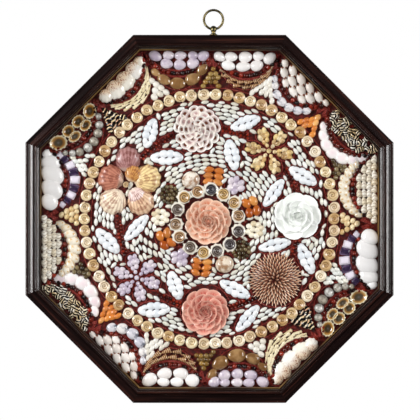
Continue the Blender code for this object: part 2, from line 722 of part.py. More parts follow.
bead_garland()
for number, (before, after) in enumerate(medallion_gaps()):
    middle_angle = (before[0] + after[0]) / 2 + LEAF_ANGLE_OFFSET
    clockwise = middle_angle - 90
    leaf("leaf_outer_%d" % (number + 1), polar(MEDALLION_CIRCLE + LEAF_OUTWARD_STEP, middle_angle),
         clockwise + LEAF_TURN_OUTER)
    leaf("leaf_inner_%d" % (number + 1), polar(MEDALLION_CIRCLE - LEAF_INWARD_STEP, middle_angle),
         clockwise + LEAF_TURN_INNER)
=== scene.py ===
# %% [markdown]
# # An octagonal shell picture
# Hundreds of small shells are glued to a board covered with dark red wax, inside a deep
# mahogany frame. This file dresses the plain construction model: every shell becomes a small
# mesh, and every surface gets a material made of nodes.
#
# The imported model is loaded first. It stays where it is, and everything else is placed by it.

# %% Load the construction model
import math
import random

import bmesh
import bpy
import numpy as np
from mathutils import Matrix, Vector


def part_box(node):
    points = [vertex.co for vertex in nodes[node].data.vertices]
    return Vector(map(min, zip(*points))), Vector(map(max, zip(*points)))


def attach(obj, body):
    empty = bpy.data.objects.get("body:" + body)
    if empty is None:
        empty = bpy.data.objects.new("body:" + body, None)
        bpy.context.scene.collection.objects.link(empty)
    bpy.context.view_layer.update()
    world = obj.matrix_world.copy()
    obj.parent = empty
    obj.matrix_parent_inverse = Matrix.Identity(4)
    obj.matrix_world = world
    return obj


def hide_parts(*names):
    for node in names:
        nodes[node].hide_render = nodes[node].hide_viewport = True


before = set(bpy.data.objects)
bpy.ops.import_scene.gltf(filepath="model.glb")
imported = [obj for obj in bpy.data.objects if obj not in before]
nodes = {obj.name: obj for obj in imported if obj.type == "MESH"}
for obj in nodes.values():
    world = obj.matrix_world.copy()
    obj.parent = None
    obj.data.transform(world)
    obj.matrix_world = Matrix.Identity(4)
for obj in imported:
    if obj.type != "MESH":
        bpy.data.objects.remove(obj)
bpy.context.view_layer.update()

# %% [markdown]
# ## Places on the board
# The shellwork is flat, so it's easiest to draw it flat: X to the right, Y up the picture and
# Z towards the viewer, with Z = 0 on the board. Every piece is drawn that way and then laid on
# the board by one turn about X. Places that were read from a photograph are kept in its pixels,
# because then they can be checked by eye, and one function turns them into metres.

# %% Sizes and places
MM = 0.001
BOARD_FRONT = -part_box("ground_board")[0].y
PICTURE_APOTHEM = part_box("frame_rail_top")[1].z
RING_CENTRE = (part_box("hanger_ring")[0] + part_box("hanger_ring")[1]) / 2
RAIL_COVERS = 0.0190
BED_APOTHEM = PICTURE_APOTHEM - RAIL_COVERS
HALF_CORNER = math.pi / 8
HALF_CHORD = BED_APOTHEM * math.tan(HALF_CORNER) / 2
STAND_UP = Matrix.Rotation(math.pi / 2, 4, "X")
POINT_ALONG_X = Matrix.Rotation(math.pi / 2, 4, "Y")
LAY = Matrix.Translation((0, -BOARD_FRONT, 0)) @ STAND_UP
SNAIL_CIRCLE = 0.1557
MEDALLION_CIRCLE = 0.1130

# One pixel of the photograph on the board, and on the frame's front, which is nearer.
PIXEL, FRONT_PIXEL = 0.0012577, 0.0012390
IMAGE_WIDTH = 420
OCTAGON_MIDDLE = (209.5, 218.9)
DIAL_PIXELS = {"middle": (207.4, 221.5), "coral_rose": (208, 221.4), "spotted_rose": (197.2, 129.9),
               "white_rose": (296.8, 216.2), "pink_rose": (205.4, 311.1), "spiny_dome": (274.5, 279),
               "gold_flower": (268.5, 151.5), "lilac_flower": (137.3, 277.4),
               "scallop_flower": (129.2, 182.5), "scallop_flower_snail": (126.9, 185)}


def photo(px, py):
    """The place on the board that shows at a pixel of the photograph."""
    return Vector(((px - OCTAGON_MIDDLE[0]) * PIXEL, (OCTAGON_MIDDLE[1] - py) * PIXEL))


def polar(radius, degrees):
    return Vector((radius * math.cos(math.radians(degrees)), radius * math.sin(math.radians(degrees))))


def turn_of(direction):
    return math.degrees(math.atan2(direction.y, direction.x))


DIAL = {name: photo(*pixel) for name, pixel in DIAL_PIXELS.items()}
print("board front %.4f, half chord %.4f" % (BOARD_FRONT, HALF_CHORD))

# %% [markdown]
# ## Making a piece
# Each kind of shell is modelled once, by bmesh operators, at unit size: one long in X, one wide
# in Y and one high in Z, with its foot at Z = 0. A group is then many copies of it, each with
# its own place, turn and size. Instances would be simpler, but they can't be exported, so the
# copies are written into one mesh. Every vertex also keeps two values for the material: "own",
# its place on the unit shell, and "tone", a number for the whole shell, so that neighbours differ.

# %% Pieces from a mesh
def linked(name, data):
    made = bpy.data.objects.new(name, data)
    bpy.context.scene.collection.objects.link(made)
    return made


def show(name, mesh, finish, body="picture", replaces=(), sharp=40):
    """Links a finished mesh as a piece of the object."""
    mesh.shade_smooth()
    mesh.set_sharp_from_angle(angle=math.radians(sharp))
    mesh.materials.append(finish)
    piece = linked(name, mesh)
    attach(piece, body)
    if replaces:
        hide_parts(*replaces)
    return piece


def mesh_from(bm, name):
    mesh = bpy.data.meshes.new(name)
    bm.to_mesh(mesh)
    bm.free()
    return mesh


def only(kind, geometry):
    """The vertices, or the edges, among what an operator made."""
    return [part for part in geometry if isinstance(part, kind)]


def open_edges(bm):
    return [edge for edge in bm.edges if edge.is_boundary]


BMVert, BMEdge = bmesh.types.BMVert, bmesh.types.BMEdge

# %% Copies of one shell
def form_of(bm):
    """Takes a modelled unit shell out of its bmesh, as arrays that can be copied quickly."""
    bmesh.ops.recalc_face_normals(bm, faces=bm.faces)
    bm.verts.index_update()
    points = np.array([v.co for v in bm.verts])
    faces = [[v.index for v in face.verts] for face in bm.faces]
    bm.free()
    return points, faces


def place(at, turn=0.0, size=(1, 1, 1), low=0.0, tilt=0.0, roll=0.0, tone=None):
    """Where one copy goes: turn about Z, tilt lifts its +X end, roll turns it about its length."""
    matrix = (Matrix.Translation((at[0], at[1], low)) @ Matrix.Rotation(math.radians(turn), 4, "Z")
              @ Matrix.Rotation(math.radians(-tilt), 4, "Y") @ Matrix.Rotation(math.radians(roll), 4, "X")
              @ Matrix.Diagonal((*size, 1)))
    return matrix, tone


def strew(name, form, places, finish, replaces=()):
    """One piece made of many copies of a form, each with its own tone."""
    points, faces = form
    seed = random.Random(name)
    count, each = len(places), len(points)
    ones = np.hstack([points, np.ones((each, 1))])
    co = np.zeros((count * each, 3))
    tones = np.zeros(count * each)
    for k, (matrix, tone) in enumerate(places):
        co[k * each:(k + 1) * each] = (ones @ np.array(LAY @ matrix).T)[:, :3]
        tones[k * each:(k + 1) * each] = seed.random() if tone is None else tone
    mesh = bpy.data.meshes.new(name)
    mesh.from_pydata(co.tolist(), [], [[v + k * each for v in face] for k in range(count) for face in faces])
    own = mesh.attributes.new("own", "FLOAT_VECTOR", "POINT")
    own.data.foreach_set("vector", np.tile(points, (count, 1)).ravel())
    tone = mesh.attributes.new("tone", "FLOAT", "POINT")
    tone.data.foreach_set("value", tones)
    return show(name, mesh, finish, replaces=replaces)


# %% [markdown]
# ## Materials
# A small helper keeps the node trees readable: `Finish` makes nodes and links them in one call.
# Sums have short names too, so `times(x, x)` adds one Math node. A grey in a ramp may be given
# as one number.

# %% Helpers for materials
class Finish:
    """A Principled material, with short calls for its nodes."""

    def __init__(self, name, roughness=0.4, metallic=0.0, coat=0.0):
        self.material = bpy.data.materials.new(name)
        self.material.use_nodes = True
        self.tree = self.material.node_tree
        self.shader = self.tree.nodes["Principled BSDF"]
        for socket, value in (("Roughness", roughness), ("Metallic", metallic), ("Coat Weight", coat),
                              ("Coat Roughness", 0.12)):
            self.shader.inputs[socket].default_value = value

    def feed(self, socket, value):
        """Links another node's output to a socket, or sets the socket's own value."""
        if isinstance(value, bpy.types.NodeSocket):
            self.tree.links.new(value, socket)
        else:
            socket.default_value = value

    def node(self, kind, settings=None, **inputs):
        """Adds a node: settings are its own properties, and inputs are values or sockets."""
        made = self.tree.nodes.new("ShaderNode" + kind)
        for key, value in (settings or {}).items():
            setattr(made, key, value)
        for key, value in inputs.items():
            key = int(key[1:]) if key[0] == "_" else key.replace("_", " ")
            self.feed(made.inputs[key], value)
        return made

    def attribute(self, name, output="Vector"):
        return self.node("Attribute", {"attribute_name": name}).outputs[output]

    def own(self):
        """The point's place on its unit shell."""
        return self.attribute("own")

    def tone(self):
        """The whole shell's number, from 0 to 1."""
        return self.attribute("tone", "Fac")

    def parts(self, vector=None):
        """A vector's X, Y and Z; that of the place on the unit shell, unless told otherwise."""
        return self.node("SeparateXYZ", Vector=vector or self.own()).outputs[:3]

    def noise(self, scale, vector=None, detail=2.0, stretch=(1, 1, 1)):
        """A noise value from 0 to 1, on Object coordinates unless told otherwise."""
        vector = vector or self.node("TexCoord").outputs["Object"]
        mapped = self.node("Mapping", Vector=vector, Scale=stretch)
        return self.node("TexNoise", Vector=mapped.outputs[0], Scale=scale, Detail=detail).outputs["Fac"]

    def ramp(self, value, stops):
        """Colours along a value. stops is a list of (position, colour), or (position, grey)."""
        made = self.node("ValToRGB", Fac=value)
        elements = made.color_ramp.elements
        for _ in stops[2:]:
            elements.new(1.0)
        for element, (position, colour) in zip(elements, stops):
            element.position = position
            element.color = (*((colour,) * 3 if isinstance(colour, (int, float)) else colour), 1)
        return made.outputs["Color"]

    def mix(self, share, first, second, blend="MIX"):
        made = self.node("Mix", {"data_type": "RGBA", "blend_type": blend}, _0=share)
        for socket, value in ((made.inputs[6], first), (made.inputs[7], second)):
            self.feed(socket, value if isinstance(value, bpy.types.NodeSocket) else (*value, 1))
        return made.outputs[2]

    def shaded(self, colour, shade):
        """A colour multiplied by another."""
        return self.mix(1.0, colour, shade, "MULTIPLY")

    def math(self, operation, first, second=0.5):
        return self.node("Math", {"operation": operation}, _0=first, _1=second).outputs[0]

    def plus(self, first, second):
        return self.math("ADD", first, second)

    def minus(self, first, second):
        return self.math("SUBTRACT", first, second)

    def times(self, first, second):
        return self.math("MULTIPLY", first, second)

    def over(self, first, second):
        return self.math("DIVIDE", first, second)

    def above(self, value, limit):
        return self.math("GREATER_THAN", value, limit)

    def below(self, value, limit):
        return self.math("LESS_THAN", value, limit)

    def reach(self, x, y):
        """The distance from the axis."""
        return self.math("SQRT", self.plus(self.times(x, x), self.times(y, y)))

    def colour(self, value):
        self.feed(self.shader.inputs["Base Color"],
                  value if isinstance(value, bpy.types.NodeSocket) else (*value, 1))
        return self

    def bump(self, height, strength=0.3, distance=0.0005):
        made = self.node("Bump", Height=height, Strength=strength, Distance=distance)
        self.feed(self.shader.inputs["Normal"], made.outputs[0])
        return self


def rgb(red, green, blue):
    """A colour as it's read from a screen, 0 to 255, made linear."""
    return tuple((c / 255 / 12.92) if c < 11 else ((c / 255 + 0.055) / 1.055) ** 2.4
                 for c in (red, green, blue))


print("helpers ready")

# %% [markdown]
# ### The finish of a shell
# Shells are glossy and slightly uneven, so the finish has a ramp for the tones from shell to
# shell, a fine noise for growth marks and a low bump. Whatever is special about a kind, such as
# stripes or a dark tip, is drawn on top by a few more nodes that read the shell's "own" place.

# %% Shell finish
def shell_finish(name, tones, roughness=0.28, coat=0.3, mottle=0.12, draw=None):
    """A shell's material. tones are screen colours, and draw adds marks on top of them."""
    finish = Finish(name, roughness, coat=coat)
    stops = [(k / max(1, len(tones) - 1), rgb(*tone)) for k, tone in enumerate(tones)]
    colour = finish.ramp(finish.tone(), stops)
    growth = finish.noise(420.0, detail=3.0)
    dark = finish.shaded(colour, (0.72, 0.66, 0.60))
    colour = finish.mix(finish.times(finish.above(growth, 0.56), mottle), colour, dark)
    if draw:
        colour = draw(finish, colour)
    finish.colour(colour)
    finish.bump(growth, 0.15, 0.0004)
    return finish.material


print("shell finish ready")

# %% [markdown]
# ## The mahogany frame
# Old mahogany is nearly black in its dark streaks and red-brown between them, with fine dark
# pores along the grain. Both are stretched noises. They read an attribute that holds each
# vertex's place along the wood, so the grain follows every rail and not the room.

# %% Wood finish
mahogany = Finish("mahogany", 0.18, coat=0.2)
grain = mahogany.attribute("grain")
streaks = mahogany.noise(26.0, grain, 4.0, (0.35, 11.0, 11.0))
pores = mahogany.noise(160.0, grain, 2.0, (0.22, 14.0, 14.0))
wood = mahogany.ramp(streaks, [(0.34, rgb(18, 11, 10)), (0.52, rgb(30, 18, 17)), (0.66, rgb(56, 30, 24)),
                               (0.80, rgb(36, 20, 18))])
wood = mahogany.mix(mahogany.times(mahogany.above(pores, 0.58), 0.55), wood, rgb(14, 8, 8))
mahogany.colour(wood).bump(streaks, 0.04, 0.0002)
worn_gloss = mahogany.node("MapRange", Value=streaks, To_Min=0.17, To_Max=0.28).outputs[0]
mahogany.feed(mahogany.shader.inputs["Roughness"], worn_gloss)
print("wood finish ready")

# %% [markdown]
# A moulding is planed along its whole length and then mitred. The mesh is made in the same
# order: the section is drawn once as a face, extruded along X, and cut at both ends by a plane
# through the octagon's corner. Only then is the rail turned to its side.

# %% Rails
RAIL_WIDTH, SIDE_HEIGHT = 0.018, 0.033
RAIL_DEPTH = -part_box("frame_rail_top")[0].y
REBATE_WIDTH, REBATE_DEPTH = 0.006, 0.0096
RAIL_NAMES = ("top", "upper_right", "right", "lower_right", "bottom", "lower_left", "left", "upper_left")
MITRE_GAP = 0.00001
SPARE_LENGTH = 0.01
GRAIN_STEP = 1.7


def arc(centre, radius, start, end, steps):
    """Points on an arc, as (in from the outer face, out from the wall)."""
    angles = [math.radians(start + (end - start) * k / steps) for k in range(steps + 1)]
    return [(centre[0] + radius * math.cos(a), centre[1] + radius * math.sin(a)) for a in angles]


def moulding_section():
    """From the outer edge inwards: a round arris, a flat land, a facet that rises by about 25
    degrees, a small step, a large bead, an inner cove, and the rebate for the board behind."""
    drop = RAIL_DEPTH - SIDE_HEIGHT
    facet = SIDE_HEIGHT + drop * 0.22
    inner_edge = SIDE_HEIGHT + drop * 0.25
    points = [(0.0, 0.0)] + arc((0.0012, SIDE_HEIGHT - 0.0012), 0.0012, 180, 90, 4)
    points += [(0.0038, SIDE_HEIGHT + drop * 0.06), (0.0041, SIDE_HEIGHT + drop * 0.17)]
    points += [(0.0056, facet), (0.0062, facet + 0.0002), (0.0086, facet + 0.0013), (0.0092, facet + 0.0015)]
    points += arc((0.0100, facet + 0.0010), 0.0007, 110, 0, 4)
    points += arc((RAIL_WIDTH * 0.725, RAIL_DEPTH - 0.0017), 0.0017, 200, -10, 9)
    points += arc((RAIL_WIDTH * 0.99, RAIL_DEPTH - 0.0006), 0.0045, 208, 250, 4)
    points += [(RAIL_WIDTH - 0.0006, inner_edge), (RAIL_WIDTH, inner_edge)]
    points += [(RAIL_WIDTH, REBATE_DEPTH), (RAIL_WIDTH - REBATE_WIDTH, REBATE_DEPTH)]
    return points + [(RAIL_WIDTH - REBATE_WIDTH, 0.0)]


def rail(index):
    """One mitred rail, planed, cut and turned to its side of the octagon."""
    half = PICTURE_APOTHEM * math.tan(HALF_CORNER) + SPARE_LENGTH
    bm = bmesh.new()
    section = bm.faces.new([bm.verts.new((-half, -out, PICTURE_APOTHEM - inward))
                            for inward, out in moulding_section()])
    moved = bmesh.ops.extrude_face_region(bm, geom=[section])["geom"]
    bmesh.ops.translate(bm, vec=(2 * half, 0, 0), verts=only(BMVert, moved))
    for side in (-1, 1):
        normal = (side * math.cos(HALF_CORNER), 0, -math.sin(HALF_CORNER))
        cut = bmesh.ops.bisect_plane(bm, geom=bm.verts[:] + bm.edges[:] + bm.faces[:], dist=1e-6,
                                     plane_co=(-side * MITRE_GAP, 0, 0), plane_no=normal, clear_outer=True)
        bmesh.ops.holes_fill(bm, edges=only(BMEdge, cut["geom_cut"]))
    bmesh.ops.recalc_face_normals(bm, faces=bm.faces)
    layer = bm.verts.layers.float_vector.new("grain")
    for vert in bm.verts:
        vert[layer] = vert.co + Vector((index * GRAIN_STEP, 0, 0))
    bm.transform(Matrix.Rotation(2 * HALF_CORNER * index, 4, "Y"))
    node = "frame_rail_" + RAIL_NAMES[index]
    name = node + "_moulding"
    return show(name, mesh_from(bm, name), mahogany.material, replaces=[node], sharp=32)


rails = [rail(index) for index in range(8)]
print("rails:", len(rails), "faces each:", len(rails[0].data.polygons))

# %% [markdown]
# ## Boards and lining
# The two boards are plain, so their construction solids are kept and only get a finish. The red
# ground is coloured wax: dark, a little uneven, and shiny on its ridges. The back is bare wood.

# %% Finishes of the boards
wax = Finish("oxblood_wax", 0.46, coat=0.1)
ridges = wax.noise(300.0, detail=4.0)
wax.colour(wax.ramp(ridges, [(0.35, rgb(34, 10, 9)), (0.55, rgb(74, 18, 15)), (0.78, rgb(126, 36, 26))]))
wax.bump(ridges, 0.5, 0.0012)

bare_wood = Finish("bare_wood", 0.7)
fibres = bare_wood.noise(30.0, stretch=(0.5, 6.0, 9.0), detail=4.0)
bare_wood.colour(bare_wood.ramp(fibres, [(0.3, rgb(110, 82, 56)), (0.7, rgb(158, 124, 88))]))
bare_wood.bump(fibres, 0.2, 0.0003)

for node, finish in (("ground_board", wax), ("back_board", bare_wood)):
    nodes[node].data.materials.clear()
    nodes[node].data.materials.append(finish.material)
    print(node, "gets", finish.material.name)

# %% [markdown]
# The lining is a strip of ochre paper that stands against the inside of all eight rails, darkened
# in random patches by painted shade, standing for the shade that the rails cast on it. An octagonal
# loop of edges is extruded up, over and down again, and the last loop is bridged to the first, so
# the thin paper is a closed wall.

# %% Paper lining
ochre = Finish("ochre_paper", 0.75)
pulp = ochre.noise(260.0, detail=4.0)
# Painted shade: random dark patches stand for the shade that the rails cast on the paper.
shade_patches = ochre.ramp(ochre.noise(14.0), [(0.47, rgb(34, 20, 14)), (0.60, rgb(142, 108, 52))])
ochre.colour(ochre.mix(ochre.times(pulp, 0.3), shade_patches, rgb(84, 60, 30))).bump(pulp, 0.2, 0.0003)

SIGHT = PICTURE_APOTHEM - RAIL_WIDTH
PAPER_GAP, PAPER_BACK = 0.0003, 0.0008


def paper_lining():
    low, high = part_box("liner")
    outside, inside = SIGHT - PAPER_GAP, SIGHT - PAPER_BACK
    bm = bmesh.new()
    bmesh.ops.create_circle(bm, segments=8, radius=outside / math.cos(HALF_CORNER),
                            matrix=Matrix.Rotation(HALF_CORNER, 4, "Z"))
    edges = bm.edges[:]
    for radius, height in ((inside, 0.0), (inside, high.y - low.y), (outside, high.y - low.y)):
        made = bmesh.ops.extrude_edge_only(bm, edges=edges)["geom"]
        edges = [edge for edge in only(BMEdge, made) if all(vert in made for vert in edge.verts)]
        for vert in {vert for edge in edges for vert in edge.verts}:
            flat = vert.co.xy.normalized() * radius / math.cos(HALF_CORNER)
            vert.co = (flat.x, flat.y, height)
    bmesh.ops.bridge_loops(bm, edges=open_edges(bm))
    bmesh.ops.recalc_face_normals(bm, faces=bm.faces)
    bm.transform(Matrix.Translation((0, high.y, 0)) @ STAND_UP)
    return show("paper_lining", mesh_from(bm, "paper_lining"), ochre.material,
                replaces=["liner"])


print("lining faces:", len(paper_lining().data.polygons))

# %% [markdown]
# ## The brass hanger
# The stud is turned on a lathe, so half of its outline is spun about its axis. Then a hole is
# bored through its ball for the ring, with a boolean, as a drill would do it: a ring that runs
# through solid metal could never swing. The lathe is a helper, because shells use it too.

# %% Brass stud
brass = Finish("aged_brass", 0.34, metallic=1.0)
patina = brass.noise(240.0, detail=4.0)
brass.colour(brass.ramp(patina, [(0.30, rgb(104, 92, 56)), (0.55, rgb(168, 152, 108)),
                                 (0.8, rgb(206, 192, 148))]))
brass.bump(patina, 0.15, 0.0002)

RING_RADIUS, WIRE, HOLE_PLAY, BALL_RADIUS = 0.0119, 0.00165, 0.0009, 0.0043
BALL = Vector((RING_CENTRE.x, RING_CENTRE.y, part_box("hanger_ring")[0].z + WIRE))
FOOT_GAP, NECK_ANGLE = 0.0003, -56
# The foot and the neck, as (radius, height above the foot's own base).
FOOT_AND_NECK = ((0, 0), (0.0053, 0), (0.0053, 0.0007), (0.0046, 0.0013), (0.0032, 0.0018), (0.0027, 0.0024),
                 (0.0030, 0.0029), (0.0024, 0.0034))


def spun(bm, steps, axis=(0, 0, 1)):
    """Spins an outline once round an axis through the origin."""
    bmesh.ops.spin(bm, geom=bm.verts[:] + bm.edges[:], cent=(0, 0, 0), axis=axis, steps=steps,
                   angle=2 * math.pi, use_merge=True)
    bmesh.ops.remove_doubles(bm, verts=bm.verts, dist=1e-6)
    return bm


def lathed(outline, steps, axis=(0, 0, 1)):
    """A closed round shape from an outline that starts and ends on the axis."""
    bm = bmesh.new()
    line = [bm.verts.new(point) for point in outline]
    for pair in zip(line, line[1:]):
        bm.edges.new(pair)
    return spun(bm, steps, axis)


def bored(bm, centre, radius, length):
    """Bores a round hole along X through a closed mesh, with the exact boolean."""
    drill = bmesh.new()
    bmesh.ops.create_cone(drill, cap_ends=True, segments=32, radius1=radius, radius2=radius, depth=length,
                          matrix=Matrix.Translation(centre) @ POINT_ALONG_X)
    made = [linked("bore_work", mesh_from(source, "bore_work")) for source in (bm, drill)]
    cut = made[0].modifiers.new("bore", "BOOLEAN")
    cut.operation, cut.solver, cut.object = "DIFFERENCE", "EXACT", made[1]
    bpy.context.view_layer.update()
    result = bmesh.new()
    result.from_object(made[0], bpy.context.evaluated_depsgraph_get())
    for work in made:
        bpy.data.objects.remove(work, do_unlink=True)
    return result


def stud():
    """A flared foot, a neck with two beads and a ball, spun from one outline, then bored."""
    base = PICTURE_APOTHEM + FOOT_GAP - BALL.z
    outline = [(radius, 0, base + height) for radius, height in FOOT_AND_NECK]
    for k in range(13):
        angle = math.radians(NECK_ANGLE + (90 - NECK_ANGLE) * k / 12)
        outline.append((BALL_RADIUS * math.cos(angle) if k < 12 else 0, 0, BALL_RADIUS * math.sin(angle)))
    bm = lathed(outline, 32)
    bmesh.ops.recalc_face_normals(bm, faces=bm.faces)
    bmesh.ops.translate(bm, vec=BALL, verts=bm.verts)
    bm = bored(bm, BALL, WIRE + HOLE_PLAY, 0.02)
    print("stud faces:", len(bm.faces), "open edges:", len(open_edges(bm)))
    return show("brass_stud", mesh_from(bm, "brass_stud"), brass.material,
                replaces=["hanger_stud"])


stud()

# %% [markdown]
# The ring's wire is ribbed like a twisted cord. It is made as a plain torus, a circle spun about
# the ring's centre, and then each vertex moves out from or in towards the middle of the wire. The
# ribs slant, because the angle round the wire is added to the angle round the ring.

# %% Brass ring
RIBS, WIRE_MEAN, RIB_DEPTH = 34, 0.91, 0.085


def ring():
    bm = bmesh.new()
    bmesh.ops.create_circle(bm, segments=10, radius=WIRE,
                            matrix=Matrix.Translation((RING_RADIUS, 0, 0)) @ STAND_UP)
    for vert in spun(bm, 180).verts:
        around = math.atan2(vert.co.y, vert.co.x)
        middle = Vector((RING_RADIUS * math.cos(around), RING_RADIUS * math.sin(around), 0))
        across = vert.co - middle
        slant = math.atan2(across.z, across.dot(middle.normalized()))
        vert.co = middle + across * (WIRE_MEAN + RIB_DEPTH * math.cos(RIBS * around + slant))
    bmesh.ops.recalc_face_normals(bm, faces=bm.faces)
    bm.transform(Matrix.Translation(BALL + Vector((0, 0, RING_RADIUS))) @ STAND_UP)
    return show("brass_ring", mesh_from(bm, "brass_ring"), brass.material, body="ring",
                replaces=["hanger_ring"])


ring()
print("ball of the hanger at", tuple(round(c, 4) for c in BALL))

# %% [markdown]
# ## Camera and light
# The photograph was taken square on, from some way off, so a long lens stands far in front.
# Two tall soft boxes stand at the sides. They draw the bright lines on the beads of the left and
# right rails and leave the top and bottom rails dark. The other three lights only fill: they
# light the shells, but don't show as glints, so the wood stays dark.

# %% Camera and lights
DISTANCE = 4.5
camera = linked("camera", bpy.data.cameras.new("camera"))
camera.data.sensor_width = 36
camera.data.lens = 36 * DISTANCE / (IMAGE_WIDTH * FRONT_PIXEL)
camera.location = (0.5 * FRONT_PIXEL, -RAIL_DEPTH - DISTANCE,
                   (OCTAGON_MIDDLE[1] - IMAGE_WIDTH / 2) * FRONT_PIXEL)
camera.rotation_euler = (math.pi / 2, 0, 0)
bpy.context.scene.camera = camera
bpy.context.scene.view_settings.view_transform = "Standard"

# Each light: where it stands, its width and height, its power, and whether it shows as a glint.
LIGHTS = {"left_box": ((-1.7, -1.25, 0.35), (0.24, 1.1), 33, True),
          "right_box": ((1.7, -1.25, 0.25), (0.20, 1.1), 23, True),
          "front_fill": ((-0.35, -3.4, 0.1), (1.6, 1.2), 58, False),
          "back_fill": ((1.1, 3.2, 1.6), (1.2, 0.8), 60, False),
          "overhead": ((0, -1.2, 3.2), (2.4, 2.4), 22, False)}
for name, (at, size, power, glints) in LIGHTS.items():
    data = bpy.data.lights.new(name, "AREA")
    data.shape = "RECTANGLE"
    data.size, data.size_y = size
    data.energy = power
    light = linked(name, data)
    light.location = at
    light.visible_glossy = glints
    light.rotation_euler = (-Vector(at)).to_track_quat("-Z", "Y").to_euler()
print("lens %.1f mm, lights %d" % (camera.data.lens, len(LIGHTS)))

# %% [markdown]
# The picture stands before plain white, above a pale floor. The white is seen by the camera
# alone, and the floor glows a little, because a lit floor mirrored in polished wood would turn
# it grey. This is a stage trick: neither takes part in the light that falls on the picture.

# %% Surround and floor
FLOOR_HEIGHT, FLOOR_GLOW = -0.8, 0.72
world = bpy.data.worlds.new("studio")
world.use_nodes = True
background = world.node_tree.nodes["Background"]
background.inputs["Color"].default_value = (1, 1, 1, 1)
background.inputs["Strength"].default_value = 1.0
world.cycles_visibility.diffuse = False
world.cycles_visibility.glossy = False
bpy.context.scene.world = world

paper = Finish("floor_paper", 0.9)
paper.colour((0.90, 0.90, 0.90))
paper.shader.inputs["Emission Color"].default_value = (1, 1, 1, 1)
paper.shader.inputs["Emission Strength"].default_value = FLOOR_GLOW
bm = bmesh.new()
bmesh.ops.create_grid(bm, x_segments=1, y_segments=1, size=6.0)
bm.transform(Matrix.Translation((0, 0, FLOOR_HEIGHT)))
floor = linked("floor", mesh_from(bm, "floor"))
floor.data.materials.append(paper.material)
floor.visible_diffuse = False
floor.visible_glossy = False
print("floor at %.1f m" % FLOOR_HEIGHT)

# %% [markdown]
# ## The forms of the shells
# Five ways of making a shell cover nearly all of them. The first is an egg: a sphere that
# tapers, with its foot cut flat by the board. Drawing both of its ends out to points makes a
# grain, and few faces make a bead.

# %% Eggs, grains and beads
def egg(around, along, taper=0.0, pinch=0.0):
    """A lying egg: taper narrows its +X end, and pinch draws both ends out to points."""
    bm = bmesh.new()
    bmesh.ops.create_uvsphere(bm, u_segments=around, v_segments=along, radius=0.5, matrix=POINT_ALONG_X)
    for vert in bm.verts:
        x = vert.co.x * 2
        narrow = (1 - taper * (x + 1) / 2) * (1 - pinch * abs(x) ** 3)
        vert.co = (vert.co.x, vert.co.y * narrow, max(0.0, (vert.co.z * narrow + 0.5) * 1.2 - 0.2))
    widest = max(vert.co.y for vert in bm.verts)
    bmesh.ops.scale(bm, vec=(1, 0.5 / widest, 1), verts=bm.verts)
    return form_of(bm)


EGG = egg(16, 10, taper=0.22)
PEBBLE = egg(12, 8)
PLUMP = egg(14, 10, taper=0.55)
OVAL = egg(12, 8, taper=0.12, pinch=0.25)
GRAIN = egg(8, 6, taper=0.05, pinch=0.24)
BEAD = egg(9, 6)
print("faces of an egg:", len(EGG[1]), "and of a grain:", len(GRAIN[1]))

# %% [markdown]
# A clam is a low dome that leans towards its hinge, with or without ribs that fan out from
# there. A limpet is seen from its hollow side, so it's a bowl, turned on the lathe and then
# crimped round its rim.

# %% Clams, scallops and limpets
HINGE = 0.62
LIMPET_OUTLINE = ((0.0, 0.0), (0.40, 0.0), (0.50, 0.62), (0.47, 0.86), (0.42, 0.78), (0.30, 0.48),
                  (0.16, 0.34), (0.0, 0.30))


def clam(around, levels, ribs=0, rib_height=0.0, lean=0.25):
    """A low dome whose top leans towards its hinge at -X."""
    bm = bmesh.new()
    bmesh.ops.create_uvsphere(bm, u_segments=around, v_segments=2 * levels, radius=0.5)
    bmesh.ops.delete(bm, geom=[v for v in bm.verts if v.co.z < -0.01], context="VERTS")
    bmesh.ops.holes_fill(bm, edges=open_edges(bm))
    for vert in bm.verts:
        x, y, z = vert.co
        fan = math.atan2(y, x + HINGE)
        out = 1 + rib_height * math.cos(2 * ribs * fan) * min(1.0, (x * x + y * y) * 6) if ribs else 1
        narrow = 1 - 0.20 * max(0.0, -x * 2) ** 2
        vert.co = (x * out - lean * z, y * out * narrow, 2 * z * (1.0 + 0.5 * (out - 1)))
    return form_of(bm)


def limpet(around=26, crimps=13, crimp_depth=0.055):
    bm = lathed([(radius, 0, height) for radius, height in LIMPET_OUTLINE], around)
    for vert in bm.verts:
        angle = math.atan2(vert.co.y, vert.co.x)
        vert.co.xy = vert.co.xy * (1 + crimp_depth * math.cos(crimps * angle) * (vert.co.xy.length > 0.38))
    return form_of(bm)


CLAM = clam(24, 6)
SCALLOP = clam(56, 8, ribs=11, rib_height=0.045, lean=0.12)
DISC = clam(16, 3, lean=0.05)
LIMPET = limpet()
print("faces of a scallop:", len(SCALLOP[1]), "and of a limpet:", len(LIMPET[1]))

# %% [markdown]
# A spire is an outline with bulging whorls, spun about its own length. A flat snail grows as a
# real one does: its mouth is extruded again and again, and each time it is turned a little and
# shrunk by the same share, which makes the spiral by itself.

# %% Spires and snails
def spire(whorls=5, around=8, steps=3, bulge=0.12):
    """A pointed shell lying down: its whorls bulge, and its tip is at +X."""
    outline = [(-0.5, 0, 0)]
    count = whorls * steps
    for k in range(count + 1):
        share = k / count
        swell = 1 - bulge + bulge * 2 * abs(math.sin(math.pi * whorls * share))
        radius = 0.5 * (1 - share) ** 0.85 * swell
        outline.append((-0.42 + 0.92 * share, 0, radius if k < count else 0.0))
    bm = lathed(outline, around, axis=(1, 0, 0))
    for vert in bm.verts:
        vert.co.z = vert.co.z + 0.5
    return form_of(bm)


